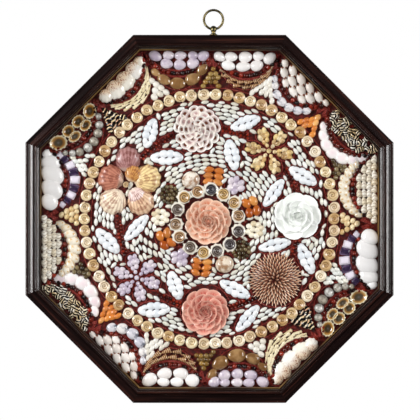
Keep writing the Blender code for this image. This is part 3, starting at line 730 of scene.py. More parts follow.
def flat_snail(turns=2.6, steps_a_turn=15, sides=7, knobs=0):
    """A flat spiral: the mouth is extruded, turned and shrunk, slowly at first and then faster."""
    bm = bmesh.new()
    bmesh.ops.create_circle(bm, segments=sides, radius=0.16, cap_ends=True,
                            matrix=Matrix.Translation((0.36, 0, 0)) @ STAND_UP)
    bm.faces[:][0].normal_flip()
    edges = bm.edges[:]
    turn = Matrix.Rotation(2 * math.pi / steps_a_turn, 3, "Z")
    for step in range(int(turns * steps_a_turn)):
        shrink = (0.80 if step < steps_a_turn else 0.46) ** (1 / steps_a_turn)
        made = bmesh.ops.extrude_edge_only(bm, edges=edges)["geom"]
        verts, edges = only(BMVert, made), only(BMEdge, made)
        bmesh.ops.rotate(bm, cent=(0, 0, 0), matrix=turn, verts=verts)
        bmesh.ops.scale(bm, vec=(shrink, shrink, shrink), verts=verts)
    bmesh.ops.holes_fill(bm, edges=edges)
    bmesh.ops.create_circle(bm, segments=12, radius=0.30, cap_ends=True,
                            matrix=Matrix.Translation((0, 0, -0.05)))
    for vert in bm.verts:
        if knobs and vert.co.xy.length > 0.34:
            angle = math.atan2(vert.co.y, vert.co.x)
            vert.co.xy = vert.co.xy * (1 + 0.22 * max(0.0, math.cos(knobs * angle)))
        vert.co = (vert.co.x * 1.04 - 0.04, vert.co.y * 1.06 - 0.01, max(0.0, vert.co.z * 2.2 + 0.6))
    return form_of(bm)


SPIRE = spire()
SNAIL = flat_snail()
KNOBBLY = flat_snail(steps_a_turn=18, knobs=8)
print("faces of a snail:", len(SNAIL[1]))

# %% [markdown]
# The roses need petals, which are cupped discs with a thin wall. A chip is a cut piece of
# shell with its edges rounded off, and a spine is no more than a thin cone.

# %% Petals, chips and spines
def petal():
    """A cupped round petal: its stem is at the origin and it reaches to X = 1."""
    bm = bmesh.new()
    bmesh.ops.create_circle(bm, segments=16, radius=0.5, cap_ends=True)
    for thickness in (0.12, 0.15):
        middle = [face for face in bm.faces if len(face.verts) > 4]
        bmesh.ops.inset_region(bm, faces=middle, thickness=thickness, use_boundary=True)
    bmesh.ops.poke(bm, faces=[face for face in bm.faces if len(face.verts) > 4])
    for vert in bm.verts:
        x, y = vert.co.xy
        reach = vert.co.xy.length * 2
        vert.co = (x + 0.5, y * (1 + 0.15 * x), 0.42 * reach ** 2.2 - 0.10 * (reach > 0.9) * (x > 0))
    bmesh.ops.recalc_face_normals(bm, faces=bm.faces)
    bmesh.ops.solidify(bm, geom=bm.faces[:], thickness=0.05)
    return form_of(bm)


def chip():
    """Four sides, narrow above."""
    bm = bmesh.new()
    bmesh.ops.create_cone(bm, cap_ends=True, segments=4, radius1=0.70, radius2=0.44, depth=1.0,
                          matrix=Matrix.Translation((0, 0, 0.5)) @ Matrix.Rotation(math.pi / 4, 4, "Z"))
    bmesh.ops.bevel(bm, geom=bm.edges[:], offset=0.08, segments=1, profile=0.5, affect="EDGES", material=-1)
    return form_of(bm)


def spine():
    """It stands along +X from the origin."""
    bm = bmesh.new()
    bmesh.ops.create_cone(bm, cap_ends=True, segments=5, radius1=0.5, radius2=0.09, depth=1.0,
                          matrix=Matrix.Translation((0.5, 0, 0)) @ POINT_ALONG_X)
    return form_of(bm)


PETAL, CHIP, SPINE = petal(), chip(), spine()
print("faces of a petal:", len(PETAL[1]), "of a chip:", len(CHIP[1]), "of a spine:", len(SPINE[1]))

# %% [markdown]
# ## The border
# Two lunettes stand on each side of the octagon. Each is the piece of a circle over half of the
# side, so one idea serves for all that follows: the "level" of a place is the height of the
# circle's arc that runs through it and through both ends of that lunette's chord. A row of
# shells, a band of beads or a cord all keep to one level, and the gaps between lunettes are
# simply what lies outside the outer level of both neighbours.

# %% Lunettes and their levels
BAND_INSIDE, BAND_OUTSIDE, CRESCENT_OUTSIDE, CRESCENT_REACH = 0.0240, 0.0322, 0.0480, 0.62
# By hand, the real lunettes came out uneven: how far each is shifted along its side, in
# millimetres, and how deep it is against the mean.
NUDGES = (4, 2, 6, 5, 6, 5.5, 7, 6, 6, 5.5, 6, 5, 5.5, 4, 4, 1)
DEPTHS = (1.0, 1.10, 1.13, 1.13, 1.10, 1.04, 0.97, 0.97, 0.92, 1.0, 1.0, 1.05, 1.02, 1.07, 1.0, 1.06)


def radius_of(level):
    """The radius of an arc that rises to a level over the lunette's chord."""
    return (HALF_CHORD ** 2 + level ** 2) / (2 * level)


class Lunette:
    """One of the sixteen, numbered clockwise from the left half of the top side."""

    def __init__(self, number):
        self.number = number
        self.side, half = divmod(number, 2)
        self.kind = number % 8
        self.spin = Matrix.Rotation(-2 * HALF_CORNER * self.side, 2)
        self.shift = HALF_CHORD * (2 * half - 1) + NUDGES[number] * MM
        self.depth = DEPTHS[number]

    def at(self, along, inward):
        """A place from its distance along the chord, from its middle, and in from the lining."""
        return self.spin @ Vector((along + self.shift, BED_APOTHEM - inward * self.depth))

    def turn(self, degrees):
        return degrees - 45 * self.side

    def on_arc(self, level, share):
        """A place on the arc of a level, share from -1 to 1, and the arc's direction there."""
        radius = radius_of(level)
        angle = 2 * math.atan(level / HALF_CHORD) * share
        along, inward = radius * math.sin(angle), level - radius * (1 - math.cos(angle))
        return self.at(along, inward), self.turn(math.degrees(angle))

    def level(self, point):
        local = self.spin.inverted() @ Vector(point)
        along, inward = local.x - self.shift, (BED_APOTHEM - local.y) / self.depth
        if inward < 0.0005:
            return 1.0
        middle = (along ** 2 + inward ** 2 - HALF_CHORD ** 2) / (2 * inward)
        return middle + math.hypot(HALF_CHORD, middle)

    def share(self, point):
        """How far along its own arc a point lies, from -1 to 1."""
        level = self.level(point)
        along = (self.spin.inverted() @ Vector(point)).x - self.shift
        return math.asin(max(-1.0, min(1.0, along / radius_of(level)))) / (2 * math.atan(level / HALF_CHORD))

    def outside(self, share):
        """The level of the crescent's outer edge: widest in its middle, and gone at its ends."""
        if abs(share) > CRESCENT_REACH:
            return BAND_OUTSIDE
        swell = math.cos(0.5 * math.pi * share / CRESCENT_REACH) ** 0.55
        return BAND_OUTSIDE + (CRESCENT_OUTSIDE / self.depth - BAND_OUTSIDE) * swell

    def rim(self, inward, margin):
        """Half the lunette's width at a distance in from the lining, less a margin."""
        radius = radius_of(BAND_INSIDE)
        return math.sqrt(max(0.0, radius ** 2 - (inward + radius - BAND_INSIDE) ** 2)) - margin


def on_bed(point, margin):
    """True inside the lining, by a margin, on all eight sides."""
    return all(Vector(point).dot(polar(1, 45 * side)) < BED_APOTHEM - margin for side in range(8))


lunettes = [Lunette(number) for number in range(16)]
print("lunettes:", len(lunettes), "chord %.1f mm" % (2 * HALF_CHORD / MM))

# %% [markdown]
# ### Cords and bands of beads
# Cords are curves with a round bevel. A curve is the natural way to draw a cord, and it's made
# a mesh at the end, so that it can be laid on the board like everything else. On the real
# picture they are red silk, and they hide the wax where two kinds of shell meet.

# %% Cords
silk = Finish("oxblood_silk", 0.38, coat=0.25)
twist_and_sheen = silk.noise(900.0)
# The fine noise is the silk's twist in the bump; the pale end of the colour ramp is painted highlight on the
# cords.
silk.colour(silk.ramp(twist_and_sheen, [(0.35, rgb(90, 20, 18)), (0.55, rgb(136, 44, 38)),
                              (0.76, rgb(196, 112, 100))]))
silk.bump(twist_and_sheen, 0.5, 0.0006)


def cords(name, lines, radius):
    """Cords along lines of flat places, lying on the board, as one piece."""
    curve = bpy.data.curves.new(name, "CURVE")
    curve.dimensions = "3D"
    curve.bevel_depth = radius
    curve.bevel_resolution = 1
    curve.use_fill_caps = True
    for line in lines:
        spline = curve.splines.new("POLY")
        spline.points.add(len(line) - 1)
        for point, (x, y) in zip(spline.points, line):
            point.co = (x, y, radius * 0.8, 1)
    holder = linked(name + "_curve", curve)
    mesh = bpy.data.meshes.new_from_object(holder.evaluated_get(bpy.context.evaluated_depsgraph_get()))
    bpy.data.objects.remove(holder)
    mesh.transform(LAY)
    mesh.materials.clear()
    mesh.name = name
    return show(name, mesh, silk.material)


def along_arc(lunette, level, start, end, count=18):
    line = [lunette.on_arc(level, start + (end - start) * k / count)[0] for k in range(count + 1)]
    return [point for point in line if on_bed(point, 0.0012)]


BAND_CORDS = ((BAND_INSIDE, 1.0), (BAND_INSIDE + 0.0013, 0.99), (BAND_OUTSIDE - 0.0006, 1.0),
              (BAND_OUTSIDE + 0.0008, 1.0))
FAN_LEVELS = (0.0340, 0.0362, 0.0386, 0.0412, 0.0442)
FAN_START, BORDER_CORD = 0.70, 0.00068
border_lines = []
for lunette in lunettes:
    for level, reach in BAND_CORDS:
        border_lines.append(along_arc(lunette, level, -reach, reach))
    shares = [CRESCENT_REACH * (k / 12 - 1) for k in range(25)]
    border_lines.append([lunette.on_arc(lunette.outside(share) + 0.0004, share)[0] for share in shares])
    for level in FAN_LEVELS:
        for side in (-1, 1):
            border_lines.append(along_arc(lunette, level, side * FAN_START, side * 1.0, 8))
cords("border_cords", border_lines, BORDER_CORD)
print("border cords:", len(border_lines))

# %% Bands of beads
BEADS_A_BAND, BAND_REACH = 15, 0.77
SEED_BEAD, SEED_BEAD_MARGIN = (0.0064, 0.0062, 0.0056), 0.0034
seed_bead = shell_finish("seed_bead", ((26, 9, 9), (88, 24, 18), (146, 46, 30), (38, 12, 10), (22, 9, 10),
                                       (104, 28, 20)), roughness=0.22, coat=0.5)
band_beads = []
for lunette in lunettes:
    for k in range(BEADS_A_BAND):
        share = BAND_REACH * (2 * k / (BEADS_A_BAND - 1) - 1)
        at, turn = lunette.on_arc((BAND_INSIDE + BAND_OUTSIDE) / 2, share)
        if on_bed(at, SEED_BEAD_MARGIN):
            band_beads.append(place(at, turn + 23 * k, SEED_BEAD))
strew("border_beads", BEAD, band_beads, seed_bead)
print("border beads:", len(band_beads))

# %% [markdown]
# ### What fills the lunettes
# Each kind has its own shells and its own finish. A draw function adds the marks of one kind.
# Most are ramps or noises on the place on the unit shell, so that a stripe or a dark tip lies
# alike on every shell; adding the shell's tone to that place makes each one different.

# %% Marks of the shells in the lunettes
def tipped(finish, colour):
    """A small brown spot at both ends."""
    x, y, _ = finish.parts()
    along = finish.minus(finish.math("ABSOLUTE", x), 0.43)
    reach = finish.plus(finish.times(along, along), finish.times(y, finish.times(y, 0.5)))
    return finish.mix(finish.ramp(reach, [(0.006, 1), (0.014, 0)]), colour, rgb(124, 66, 38))


def zebra(pale):
    """Bold black marks that wind over each shell and leave this share of it pale."""
    def draw(finish, colour):
        own = finish.own()
        shift = finish.node("CombineXYZ", X=finish.times(finish.tone(), 9.0)).outputs[0]
        shifted = finish.node("VectorMath", {"operation": "ADD"}, _0=own, _1=shift).outputs[0]
        marks = finish.node("TexWave", {"wave_type": "BANDS"}, Vector=shifted, Scale=0.80,
                            Distortion=5.0, Detail=1.0)
        return finish.mix(finish.above(marks.outputs["Fac"], pale), colour, rgb(18, 14, 13))
    return draw


def limpet_rings(finish, colour):
    """A cream rim, an amber band and a dark middle with a painted glint at its centre, with a wavering edge
    between them.
    """
    own = finish.own()
    x, y, _ = finish.parts(own)
    wobble = finish.times(finish.noise(5.0, own), 0.08)
    reach = finish.plus(finish.reach(x, y), finish.minus(wobble, 0.04))
    # Painted highlight: the bluish grey at the very centre is a glint painted on the dark hollow.
    bands = finish.ramp(reach, [(0.03, rgb(62, 62, 74)), (0.08, rgb(20, 18, 21)),
                                (0.20, rgb(22, 17, 15)), (0.26, rgb(112, 68, 24)),
                                (0.34, rgb(184, 130, 54)), (0.385, rgb(206, 172, 112)),
                                (0.42, rgb(236, 222, 186)), (0.50, rgb(244, 234, 208))])
    return finish.mix(0.12, bands, colour)


def speckled(finish, colour):
    """Brown flecks on an orange tint near the hinge, and painted shade along the rim at its foot, which
    parts it from its neighbours.
    """
    own = finish.own()
    x, _, z = finish.parts(own)
    flecks = finish.noise(8.0, own, 4.0, (1.0, 2.0, 1.0))
    cloud = finish.times(finish.noise(30.0), 0.5)
    zone = finish.ramp(finish.plus(x, cloud), [(0.00, 1), (0.26, 0)])
    tinted = finish.mix(finish.times(zone, 0.40), colour, rgb(230, 176, 96))
    share = finish.times(finish.above(flecks, 0.54), zone)
    marked = finish.mix(finish.times(share, 0.85), tinted, rgb(158, 84, 48))
    # Painted shade: the shell's foot is darkened all round, so that shells that overlap stay apart.
    return finish.mix(finish.times(finish.below(z, 0.10), 0.5), marked, rgb(150, 120, 96))


def cross_whorls(seam, count):
    """The whorls of a turban shell, as curved dark seams across its length, and painted shade in the mouth
    at its broad end, which parts each shell from the next.
    """
    def draw(finish, colour):
        x, y, _ = finish.parts()
        bent = finish.plus(x, finish.times(finish.times(y, y), 1.1))
        across = finish.math("FRACT", finish.times(finish.plus(bent, 0.55), count))
        shade = finish.ramp(across, [(0.0, 1), (0.12, 0.6), (0.26, 0), (0.88, 0), (1.0, 0.5)])
        # Painted shade: the broad end, where the mouth is, is darkened, which parts each shell from the
        # next.
        mouth = finish.ramp(finish.plus(x, 0.5), [(0.03, 0.9), (0.16, 0)])
        return finish.mix(mouth, finish.mix(shade, colour, seam), rgb(72, 52, 36))
    return draw


def clouds(shade, amount=0.6, scale=1.8):
    """Soft patches of another shade."""
    def draw(finish, colour):
        cloud = finish.ramp(finish.noise(scale * 60), [(0.42, 0), (0.62, amount)])
        return finish.mix(cloud, colour, shade)
    return draw


def shade_at_foot(finish, colour):
    """Painted shade: the shell's edge is darker all round, where it meets the wax."""
    z = finish.parts()[2]
    return finish.mix(finish.times(finish.below(z, 0.10), 0.65), colour, rgb(96, 84, 84))


print("marks ready")

# %% Finishes of the shells in the lunettes
lilac = shell_finish("lilac_shell", ((202, 190, 202), (222, 212, 218), (210, 198, 208), (232, 224, 225)),
                     0.18, 0.6, draw=clouds(rgb(160, 144, 170)))
white_gloss = shell_finish("white_gloss_shell", ((232, 227, 224), (243, 240, 238), (237, 232, 229)),
                           0.16, 0.6, 0.04)
brown_tipped = shell_finish("brown_tipped_shell", ((234, 224, 216), (243, 236, 229), (228, 217, 208)),
                            0.2, 0.5, draw=tipped)
black_and_white = shell_finish("black_and_white_shell", ((240, 228, 200), (206, 178, 132), (248, 243, 232)),
                               0.25, 0.4, 0.0, draw=zebra(0.40))
cream = shell_finish("cream_shell", ((242, 234, 216), (250, 246, 236), (232, 218, 190)),
                     0.35, 0.15, 0.15, draw=cross_whorls(rgb(156, 132, 100), 2.8))
limpet_shell = shell_finish("limpet_shell", ((180, 150, 100), (220, 200, 160)), 0.16, 0.7, draw=limpet_rings)
speckled_shell = shell_finish("speckled_shell", ((251, 247, 240), (246, 238, 220), (252, 250, 247)),
                              0.2, 0.45, draw=speckled)
edged_white = shell_finish("toothed_white_shell", ((248, 246, 245), (252, 250, 248)),
                           0.16, 0.6, 0.04, draw=shade_at_foot)
print("finishes: 8")

# %% [markdown]
# The large shells are listed one by one; the tiny ones are too many for that and come from a
# rule. A seeded chance moves, turns and scales each one a little, so two lunettes of a kind
# still differ.

# %% Lists of the large shells
# Each shell: along the chord and in from the lining, its length and width, all in millimetres,
# and its turn in degrees.
LILACS = ((-28.5, 6.4, 17, 13, -25), (-12, 5.6, 14.5, 11.5, 0), (3.5, 5.7, 15, 11.5, 0),
          (18.5, 5.5, 13, 11, 0), (32, 6.4, 15, 13, 22), (-14, 15.8, 16, 12.5, -4),
          (2.2, 17.5, 15, 13, 0), (18.6, 15.6, 15.5, 13.2, 18))
EGGS = ((-32.5, 6.4, 15, 12, -32), (-18.5, 6.6, 16.5, 13, -5), (-0.8, 7.3, 17, 14.4, 0),
        (15.5, 6.2, 15, 12, 5), (30, 8.4, 18, 14, 38), (-21.5, 16.8, 18, 12.6, -8),
        (-3.4, 18.0, 18.5, 13, 0), (14, 16.8, 16.5, 14, 22))
LARGE_EGGS = ((-27, 8.2, 18.5, 16, -20), (-8.5, 6.4, 16.5, 12.6, 0), (8.5, 6.0, 15.5, 11.6, 0),
              (26, 8.6, 20, 16, 28), (-12.5, 16.6, 19, 14.6, -4), (7.5, 16.6, 19, 14.6, 4))
TIPPED = ((-33.5, 4.9, 13, 9, -34), (-19.5, 5.0, 16.5, 10, -24), (-4.4, 5.2, 17, 10.4, -20),
          (11, 5.2, 17, 10.4, -18), (26.5, 5.0, 16.5, 10, -14), (38, 4.2, 11, 7, -8),
          (-26, 12.9, 15.5, 10, -32), (-11, 13.2, 17, 10.6, -24), (4.6, 13.4, 17, 10.6, -20),
          (20, 12.8, 16.5, 10.4, -14), (-15.5, 20.2, 13.5, 9, -28), (-1.4, 21.0, 16, 9.8, -20),
          (13.4, 20.2, 14.5, 9.4, -14))
BIVALVES = ((-26, 9.4, 22, 20, -128), (-10.5, 12.4, 29, 24, -126), (7.5, 12.8, 30, 25, -120),
            (22.5, 10.4, 25, 21, -106), (33, 6.8, 14, 12, -90))
LIMPETS = ((-26.5, 9.0, 22.5, 18.5, -28), (-8, 7.6, 17.5, 14.8, 0), (9.8, 7.8, 17.5, 15, 0),
           (28.5, 8.8, 20, 16.5, 34), (-6.5, 18.2, 18.5, 12.6, -4), (12, 17.6, 17, 12.8, 6))
SCALLOPS = ((-28, 9.4, 17, 18, -120), (-13.5, 12, 23, 25, -104), (3.0, 12.8, 24, 26, -90),
            (20, 11.8, 22, 23, -76), (32, 9, 15, 15, -62))


def rows_of(lunette, shells, height, chance, base):
    """Listed shells of one height; base lifts each one a little above the next, so they overlap."""
    places = []
    for index, (along, inward, length, width, turn) in enumerate(shells):
        at = lunette.at((along + chance.uniform(-0.5, 0.5)) * MM, (inward + chance.uniform(-0.2, 0.3)) * MM)
        if on_bed(at, min(length, width) * 0.40 * MM):
            size = [part * MM * chance.uniform(0.97, 1.04) for part in (length, width, height)]
            turned = lunette.turn(turn + chance.uniform(-7, 7))
            places.append(place(at, turned, size, base * MM * (len(shells) - index)))
    return places


print("listed shells in a lunette of eggs:", len(EGGS))

# %% Rules for the tiny shells
def grid_in(inside, pitch, low, high, seed, jitter):
    """Places on a staggered grid between two corners that a test says are inside."""
    chance = random.Random(seed)
    found = []
    for row in range(int((high[1] - low[1]) / (pitch * 0.87)) + 1):
        for column in range(int((high[0] - low[0]) / pitch) + 1):
            x = low[0] + (column + 0.5 * (row % 2)) * pitch + chance.uniform(-jitter, jitter) * pitch
            y = low[1] + row * pitch * 0.87 + chance.uniform(-jitter, jitter) * pitch
            if inside(Vector((x, y))):
                found.append(Vector((x, y)))
    return found


ZEBRA_CORNERS, ZEBRA_PITCH = ((-0.047, 0.0018), (0.047, 0.0222)), 0.0060
CONE_ROWS, CONE_PITCH, CONE = (3.6, 9.4, 15.2, 20.6), 8.6, (0.0112, 0.0082, 0.0074)


def zebra_places(lunette, chance):
    def inside(point):
        return abs(point.x) < lunette.rim(point.y, 0.0026) and point.y < ZEBRA_CORNERS[1][1]

    grid = grid_in(inside, ZEBRA_PITCH, *ZEBRA_CORNERS, lunette.number, 0.16)
    return [place(lunette.at(*p), chance.uniform(0, 360),
                  (0.0080, 0.0070, 0.0044 + 0.0010 * chance.random()),
                  tone=chance.random()) for p in grid if on_bed(lunette.at(*p), 0.0016)]


def cone_places(lunette, chance):
    places = []
    for row, inward in enumerate(CONE_ROWS):
        room = lunette.rim(inward * MM, 0.0036) / MM
        count = max(2, round(2 * room / CONE_PITCH) + row % 2)
        for k in range(count):
            at = lunette.at((room * (2 * k / (count - 1) - 1) + chance.uniform(-0.5, 0.5)) * MM, inward * MM)
            if on_bed(at, 0.0028):
                places.append(place(at, lunette.turn(180 + chance.uniform(-16, 16)), CONE,
                                    0.0012 * chance.random(), 10))
    return places


print("rules ready")

# %% Lunettes
# Each kind: its name, form, finish, slot, list or rule, height in millimetres and overlap.
FILLINGS = (("lilac", EGG, lilac, "lilac_shell", LILACS, 8.6, 0.0),
            ("white_egg", EGG, white_gloss, "white_shell", EGGS, 9.6, 0.0),
            ("brown_tipped", OVAL, brown_tipped, "tipped_shell", TIPPED, 6.6, 0.0),
            ("black_and_white", BEAD, black_and_white, "black_and_white_shell", zebra_places, 0, 0),
            ("cream_cone", PLUMP, cream, "cream_shell", cone_places, 0, 0),
            ("white_bivalve", CLAM, edged_white, "white_shell", BIVALVES, 6.4, 1.1),
            ("limpet", LIMPET, limpet_shell, "limpet_shell", LIMPETS, 6.4, 0.0),
            ("speckled_scallop", SCALLOP, speckled_shell, "speckled_shell", SCALLOPS, 6.0, 0.8))
WITH_LARGE_EGGS = 9
for lunette in lunettes:
    kind, form, finish, slot, shells, height, base = FILLINGS[lunette.kind]
    label = "%02d_%s" % (lunette.number + 1, kind)
    chance = random.Random(lunette.number)
    if callable(shells):
        places = shells(lunette, chance)
    else:
        shells = LARGE_EGGS if lunette.number == WITH_LARGE_EGGS else shells
        places = rows_of(lunette, shells, height, chance, base)
    strew("lunette_" + label, form, places, finish, replaces=["border_" + label])
    print(label, len(places))

# %% [markdown]
# ## The dial
# Inside the border lies the dial: a ring of flat snails, seven medallions joined by a garland of
# beads, and a rose in the middle with two rings round it. The snails were chosen for size, laid
# all the same way up, and set edge to edge; only their turns differ. Their shading follows the
# spiral: the distance from the middle, less one step for each full turn, counts the whorls.

# %% Finishes of the snails
def whorls(finish, step):
    """How far across its whorl a point lies, from seam to seam, and how far from the middle."""
    x, y, _ = finish.parts()
    reach = finish.reach(x, y)
    around = finish.over(finish.plus(finish.math("ARCTAN2", y, x), math.pi), 2 * math.pi)
    return finish.math("FRACT", finish.minus(finish.over(reach, step), around)), reach


def whorl_shades(finish, colour):
    """Each whorl has a dark seam, and painted shade and light that make it look round; the last one is plain
    and streaked.
    """
    across, reach = whorls(finish, 0.19)
    # Painted light and shade across each whorl make it look round; the darkest stop is the seam.
    painted_round_shade = finish.ramp(across, [(0.0, (0.16, 0.09, 0.04)), (0.13, (0.50, 0.38, 0.24)), (0.30, 1),
                                       (0.70, (1, 0.98, 0.94)), (1.0, (0.62, 0.50, 0.34))])
    near = finish.ramp(reach, [(0.30, 1), (0.37, 0)])
    streaks = finish.above(finish.noise(4.0, finish.own(), 3.0), 0.62)
    worn = finish.mix(finish.times(streaks, 0.35), colour, rgb(178, 132, 78))
    return finish.mix(near, worn, finish.shaded(worn, painted_round_shade))


def grey_whorls(finish, colour):
    """Dark whorls with pale seams, inside a pale knobbly rim."""
    across, reach = whorls(finish, 0.15)
    seams = finish.ramp(across, [(0.0, (0.04, 0.03, 0.03)), (0.20, (0.25, 0.2, 0.18)), (0.45, 1),
                                 (1.0, (0.45, 0.4, 0.36))])
    rim = finish.ramp(reach, [(0.37, 0), (0.42, 1)])
    return finish.mix(rim, finish.shaded(colour, seams), rgb(226, 220, 206))


tan_snail = shell_finish("tan_snail", ((214, 188, 142), (230, 214, 178), (196, 162, 112), (240, 230, 210),
                                       (222, 200, 158), (182, 142, 92), (236, 224, 194)),
                         0.32, 0.25, 0.3, draw=whorl_shades)
grey_snail = shell_finish("grey_snail", ((222, 186, 124), (196, 156, 112), (168, 142, 116), (138, 124, 112),
                                         (92, 90, 96)), 0.26, 0.4, 0.3, draw=grey_whorls)
print("finishes: 2")

# %% Snail rings
SNAILS, SNAIL_WIDTH, SNAIL_HEIGHT = 66, 0.0153, 0.0072
chance = random.Random(66)
snail_places = [place(polar(SNAIL_CIRCLE, 360 * k / SNAILS), chance.uniform(0, 360),
                      (SNAIL_WIDTH * chance.uniform(0.95, 1.02),) * 2 + (SNAIL_HEIGHT,),
                      tilt=chance.uniform(-4, 4)) for k in range(SNAILS)]
strew("tan_snail_ring", SNAIL, snail_places, tan_snail, replaces=["snail_ring"])

# The knobbly snails round the middle: a pixel of the photograph, and a tone from tan to grey.
INNER_SNAILS = ((197.9, 191.7, 0.25), (210.8, 189.6, 1.0), (223.4, 194.3, 0.0), (233.9, 202.9, 0.1),
                (238.3, 216, 0.35), (238.3, 231.2, 0.9), (229.7, 243.8, 0.95), (217.1, 251.2, 0.85),
                (203, 252.5, 0.0), (189.9, 247, 0.75), (179.9, 236.8, 0.3), (175.8, 224.2, 0.45),
                (177.8, 209.2, 0.8), (184.9, 197.5, 0.1))
knobbly_places = [place(photo(across, down), chance.uniform(0, 360), (0.0174, 0.0174, 0.0080),
                        tilt=chance.uniform(-5, 5), tone=tone) for across, down, tone in INNER_SNAILS]
strew("knobbly_snail_ring", KNOBBLY, knobbly_places, grey_snail,
      replaces=["inner_snail_ring"])
print("snails:", len(snail_places), "and", len(knobbly_places))

# %% [markdown]
# ### Roses
# A rose is built like the real ones: cupped petals are set in wax, ring by ring, from the
# outside inwards. Each ring has fewer and smaller petals that stand more upright, and it's
# turned so that its petals cover the gaps of the ring below. One table of rings gives each rose
# its shape, and the painted shade in a petal's hollow, with painted light at its edge, keeps the
# petals apart.

# %% Finishes of the petals
def shaded_petal(hollow, middle, edge, streak):
    """Painted shade in the petal's hollow and painted light at its edge, with faint streaks."""
    def draw(finish, colour):
        own = finish.own()
        # Painted shade low in the cup, and painted light at the raised edge.
        height = finish.ramp(finish.parts(own)[2], [(0.01, hollow), (0.10, middle), (0.32, edge)])
        streaks = finish.noise(5.0, own, 2.0, (0.5, 5.0, 1.0))
        shaded = finish.mix(finish.times(finish.above(streaks, 0.55), streak), height, edge)
        return finish.mix(0.25, shaded, colour)
    return draw


def spots(finish, colour):
    """A brown spot with a lilac shade round it in the hollow of most petals."""
    x, y, _ = finish.parts()
    reach = finish.reach(finish.minus(x, 0.58), y)
    reach = finish.plus(reach, finish.times(finish.noise(6.0, finish.own()), 0.12))
    spot = finish.mix(finish.above(finish.tone(), 0.30), rgb(186, 154, 152), rgb(112, 62, 46))
    return finish.mix(finish.ramp(reach, [(0.19, 1), (0.28, 0.46), (0.46, 0)]), colour, spot)


coral = shell_finish("coral_petal", ((226, 150, 114), (240, 186, 154), (212, 128, 92)), 0.24, 0.45,
                     draw=shaded_petal(rgb(158, 62, 40), rgb(222, 140, 106), rgb(246, 216, 192), 0.5))
pink = shell_finish("pink_petal", ((214, 112, 100), (236, 158, 136), (200, 94, 84)), 0.24, 0.45,
                    draw=shaded_petal(rgb(142, 46, 42), rgb(210, 112, 98), rgb(240, 192, 172), 0.5))
white_petal = shell_finish("white_petal", ((242, 246, 240), (250, 252, 248), (234, 240, 232)), 0.2, 0.5,
                           draw=shaded_petal(rgb(224, 232, 222), rgb(246, 249, 244),
                                             rgb(253, 254, 252), 0.1))
spotted = shell_finish("spotted_petal", ((250, 240, 230), (254, 250, 244), (240, 224, 220)), 0.26, 0.4,
                       draw=spots)
print("finishes: 4")

# %% Four roses
# Each ring: petals, their length and width, how far out their stems stand, all as shares of the
# rose's radius, their tilt in degrees, and how high the stems stand as a share of its height.
FULL_ROSE = ((11, 0.60, 0.66, 0.38, 12, 0.02), (10, 0.54, 0.58, 0.27, 28, 0.12),
             (8, 0.46, 0.52, 0.18, 44, 0.20), (6, 0.38, 0.46, 0.11, 58, 0.28),
             (5, 0.32, 0.38, 0.06, 66, 0.34), (3, 0.26, 0.32, 0.03, 74, 0.38))
OPEN_ROSE = ((7, 0.72, 0.90, 0.27, 8, 0.02), (7, 0.58, 0.70, 0.17, 26, 0.12),
             (5, 0.46, 0.56, 0.10, 44, 0.22), (4, 0.34, 0.42, 0.05, 60, 0.32),
             (3, 0.24, 0.30, 0.03, 74, 0.42))
SCALED_ROSE = ((14, 0.44, 0.46, 0.54, 8, 0.04), (12, 0.42, 0.46, 0.38, 14, 0.14),
               (10, 0.38, 0.44, 0.24, 22, 0.24), (7, 0.34, 0.40, 0.13, 36, 0.34),
               (4, 0.26, 0.32, 0.04, 56, 0.44))
RING_TWIST = 17


def rose(name, radius, height, rings, finish, node):
    """Rings of petals, from the outside inwards; each ring is twisted against the last."""
    chance = random.Random(name)
    places = []
    for index, (count, length, width, stem, tilt, low) in enumerate(rings):
        for k in range(count):
            turn = 360 * (k + 0.5 * (index % 2)) / count + chance.uniform(-5, 5) + RING_TWIST * index
            at = DIAL[name] + polar(stem * radius, turn)
            size = (length * radius, width * radius, 0.42 * length * radius)
            places.append(place(at, turn + chance.uniform(-6, 6), size, low * height,
                                tilt + chance.uniform(-4, 4), chance.uniform(4, 14)))
    strew(name, PETAL, places, finish, replaces=[node])
    print(name, "petals:", len(places))


rose("coral_rose", 0.0306, 0.016, FULL_ROSE, coral, "rose_coral_centre")
rose("spotted_rose", 0.0308, 0.0135, SCALED_ROSE, spotted, "rose_spotted")
rose("white_rose", 0.0308, 0.0135, OPEN_ROSE, white_petal, "rose_white")
rose("pink_rose", 0.0314, 0.0135, FULL_ROSE, pink, "rose_pink")

# %% [markdown]
# ### The spiny dome
# The dome is about two hundred pointed shells pushed into a mound of wax. Their places follow
# the spiral of a sunflower, which spreads points evenly over a round form: each one is turned
# by the golden angle against the last. Each is pale at its tip and darker towards its foot, where
# painted shade lies between the crowded spines.

# %% Spiny dome
GOLDEN_ANGLE = 137.508
SPINES, DOME_RADIUS, DOME_RISE, SPINE_FOOT = 190, 0.0268, 0.0085, 0.0018
SPINE_SIZE, UPRIGHT, LEANING = (0.0088, 0.0034, 0.0034), 62, 12
MOUND_RADIUS, MOUND_FLATNESS = 0.030, 0.36


def shaded_feet(finish, colour):
    # Painted shade: each spine darkens towards its foot, where the gaps between the spines lie in shade.
    along = finish.plus(finish.parts()[0], finish.times(finish.tone(), 0.25))
    return finish.ramp(along, [(0.12, rgb(60, 34, 26)), (0.40, rgb(150, 100, 74)),
                               (0.68, rgb(214, 166, 134)), (1.0, rgb(240, 216, 190))])


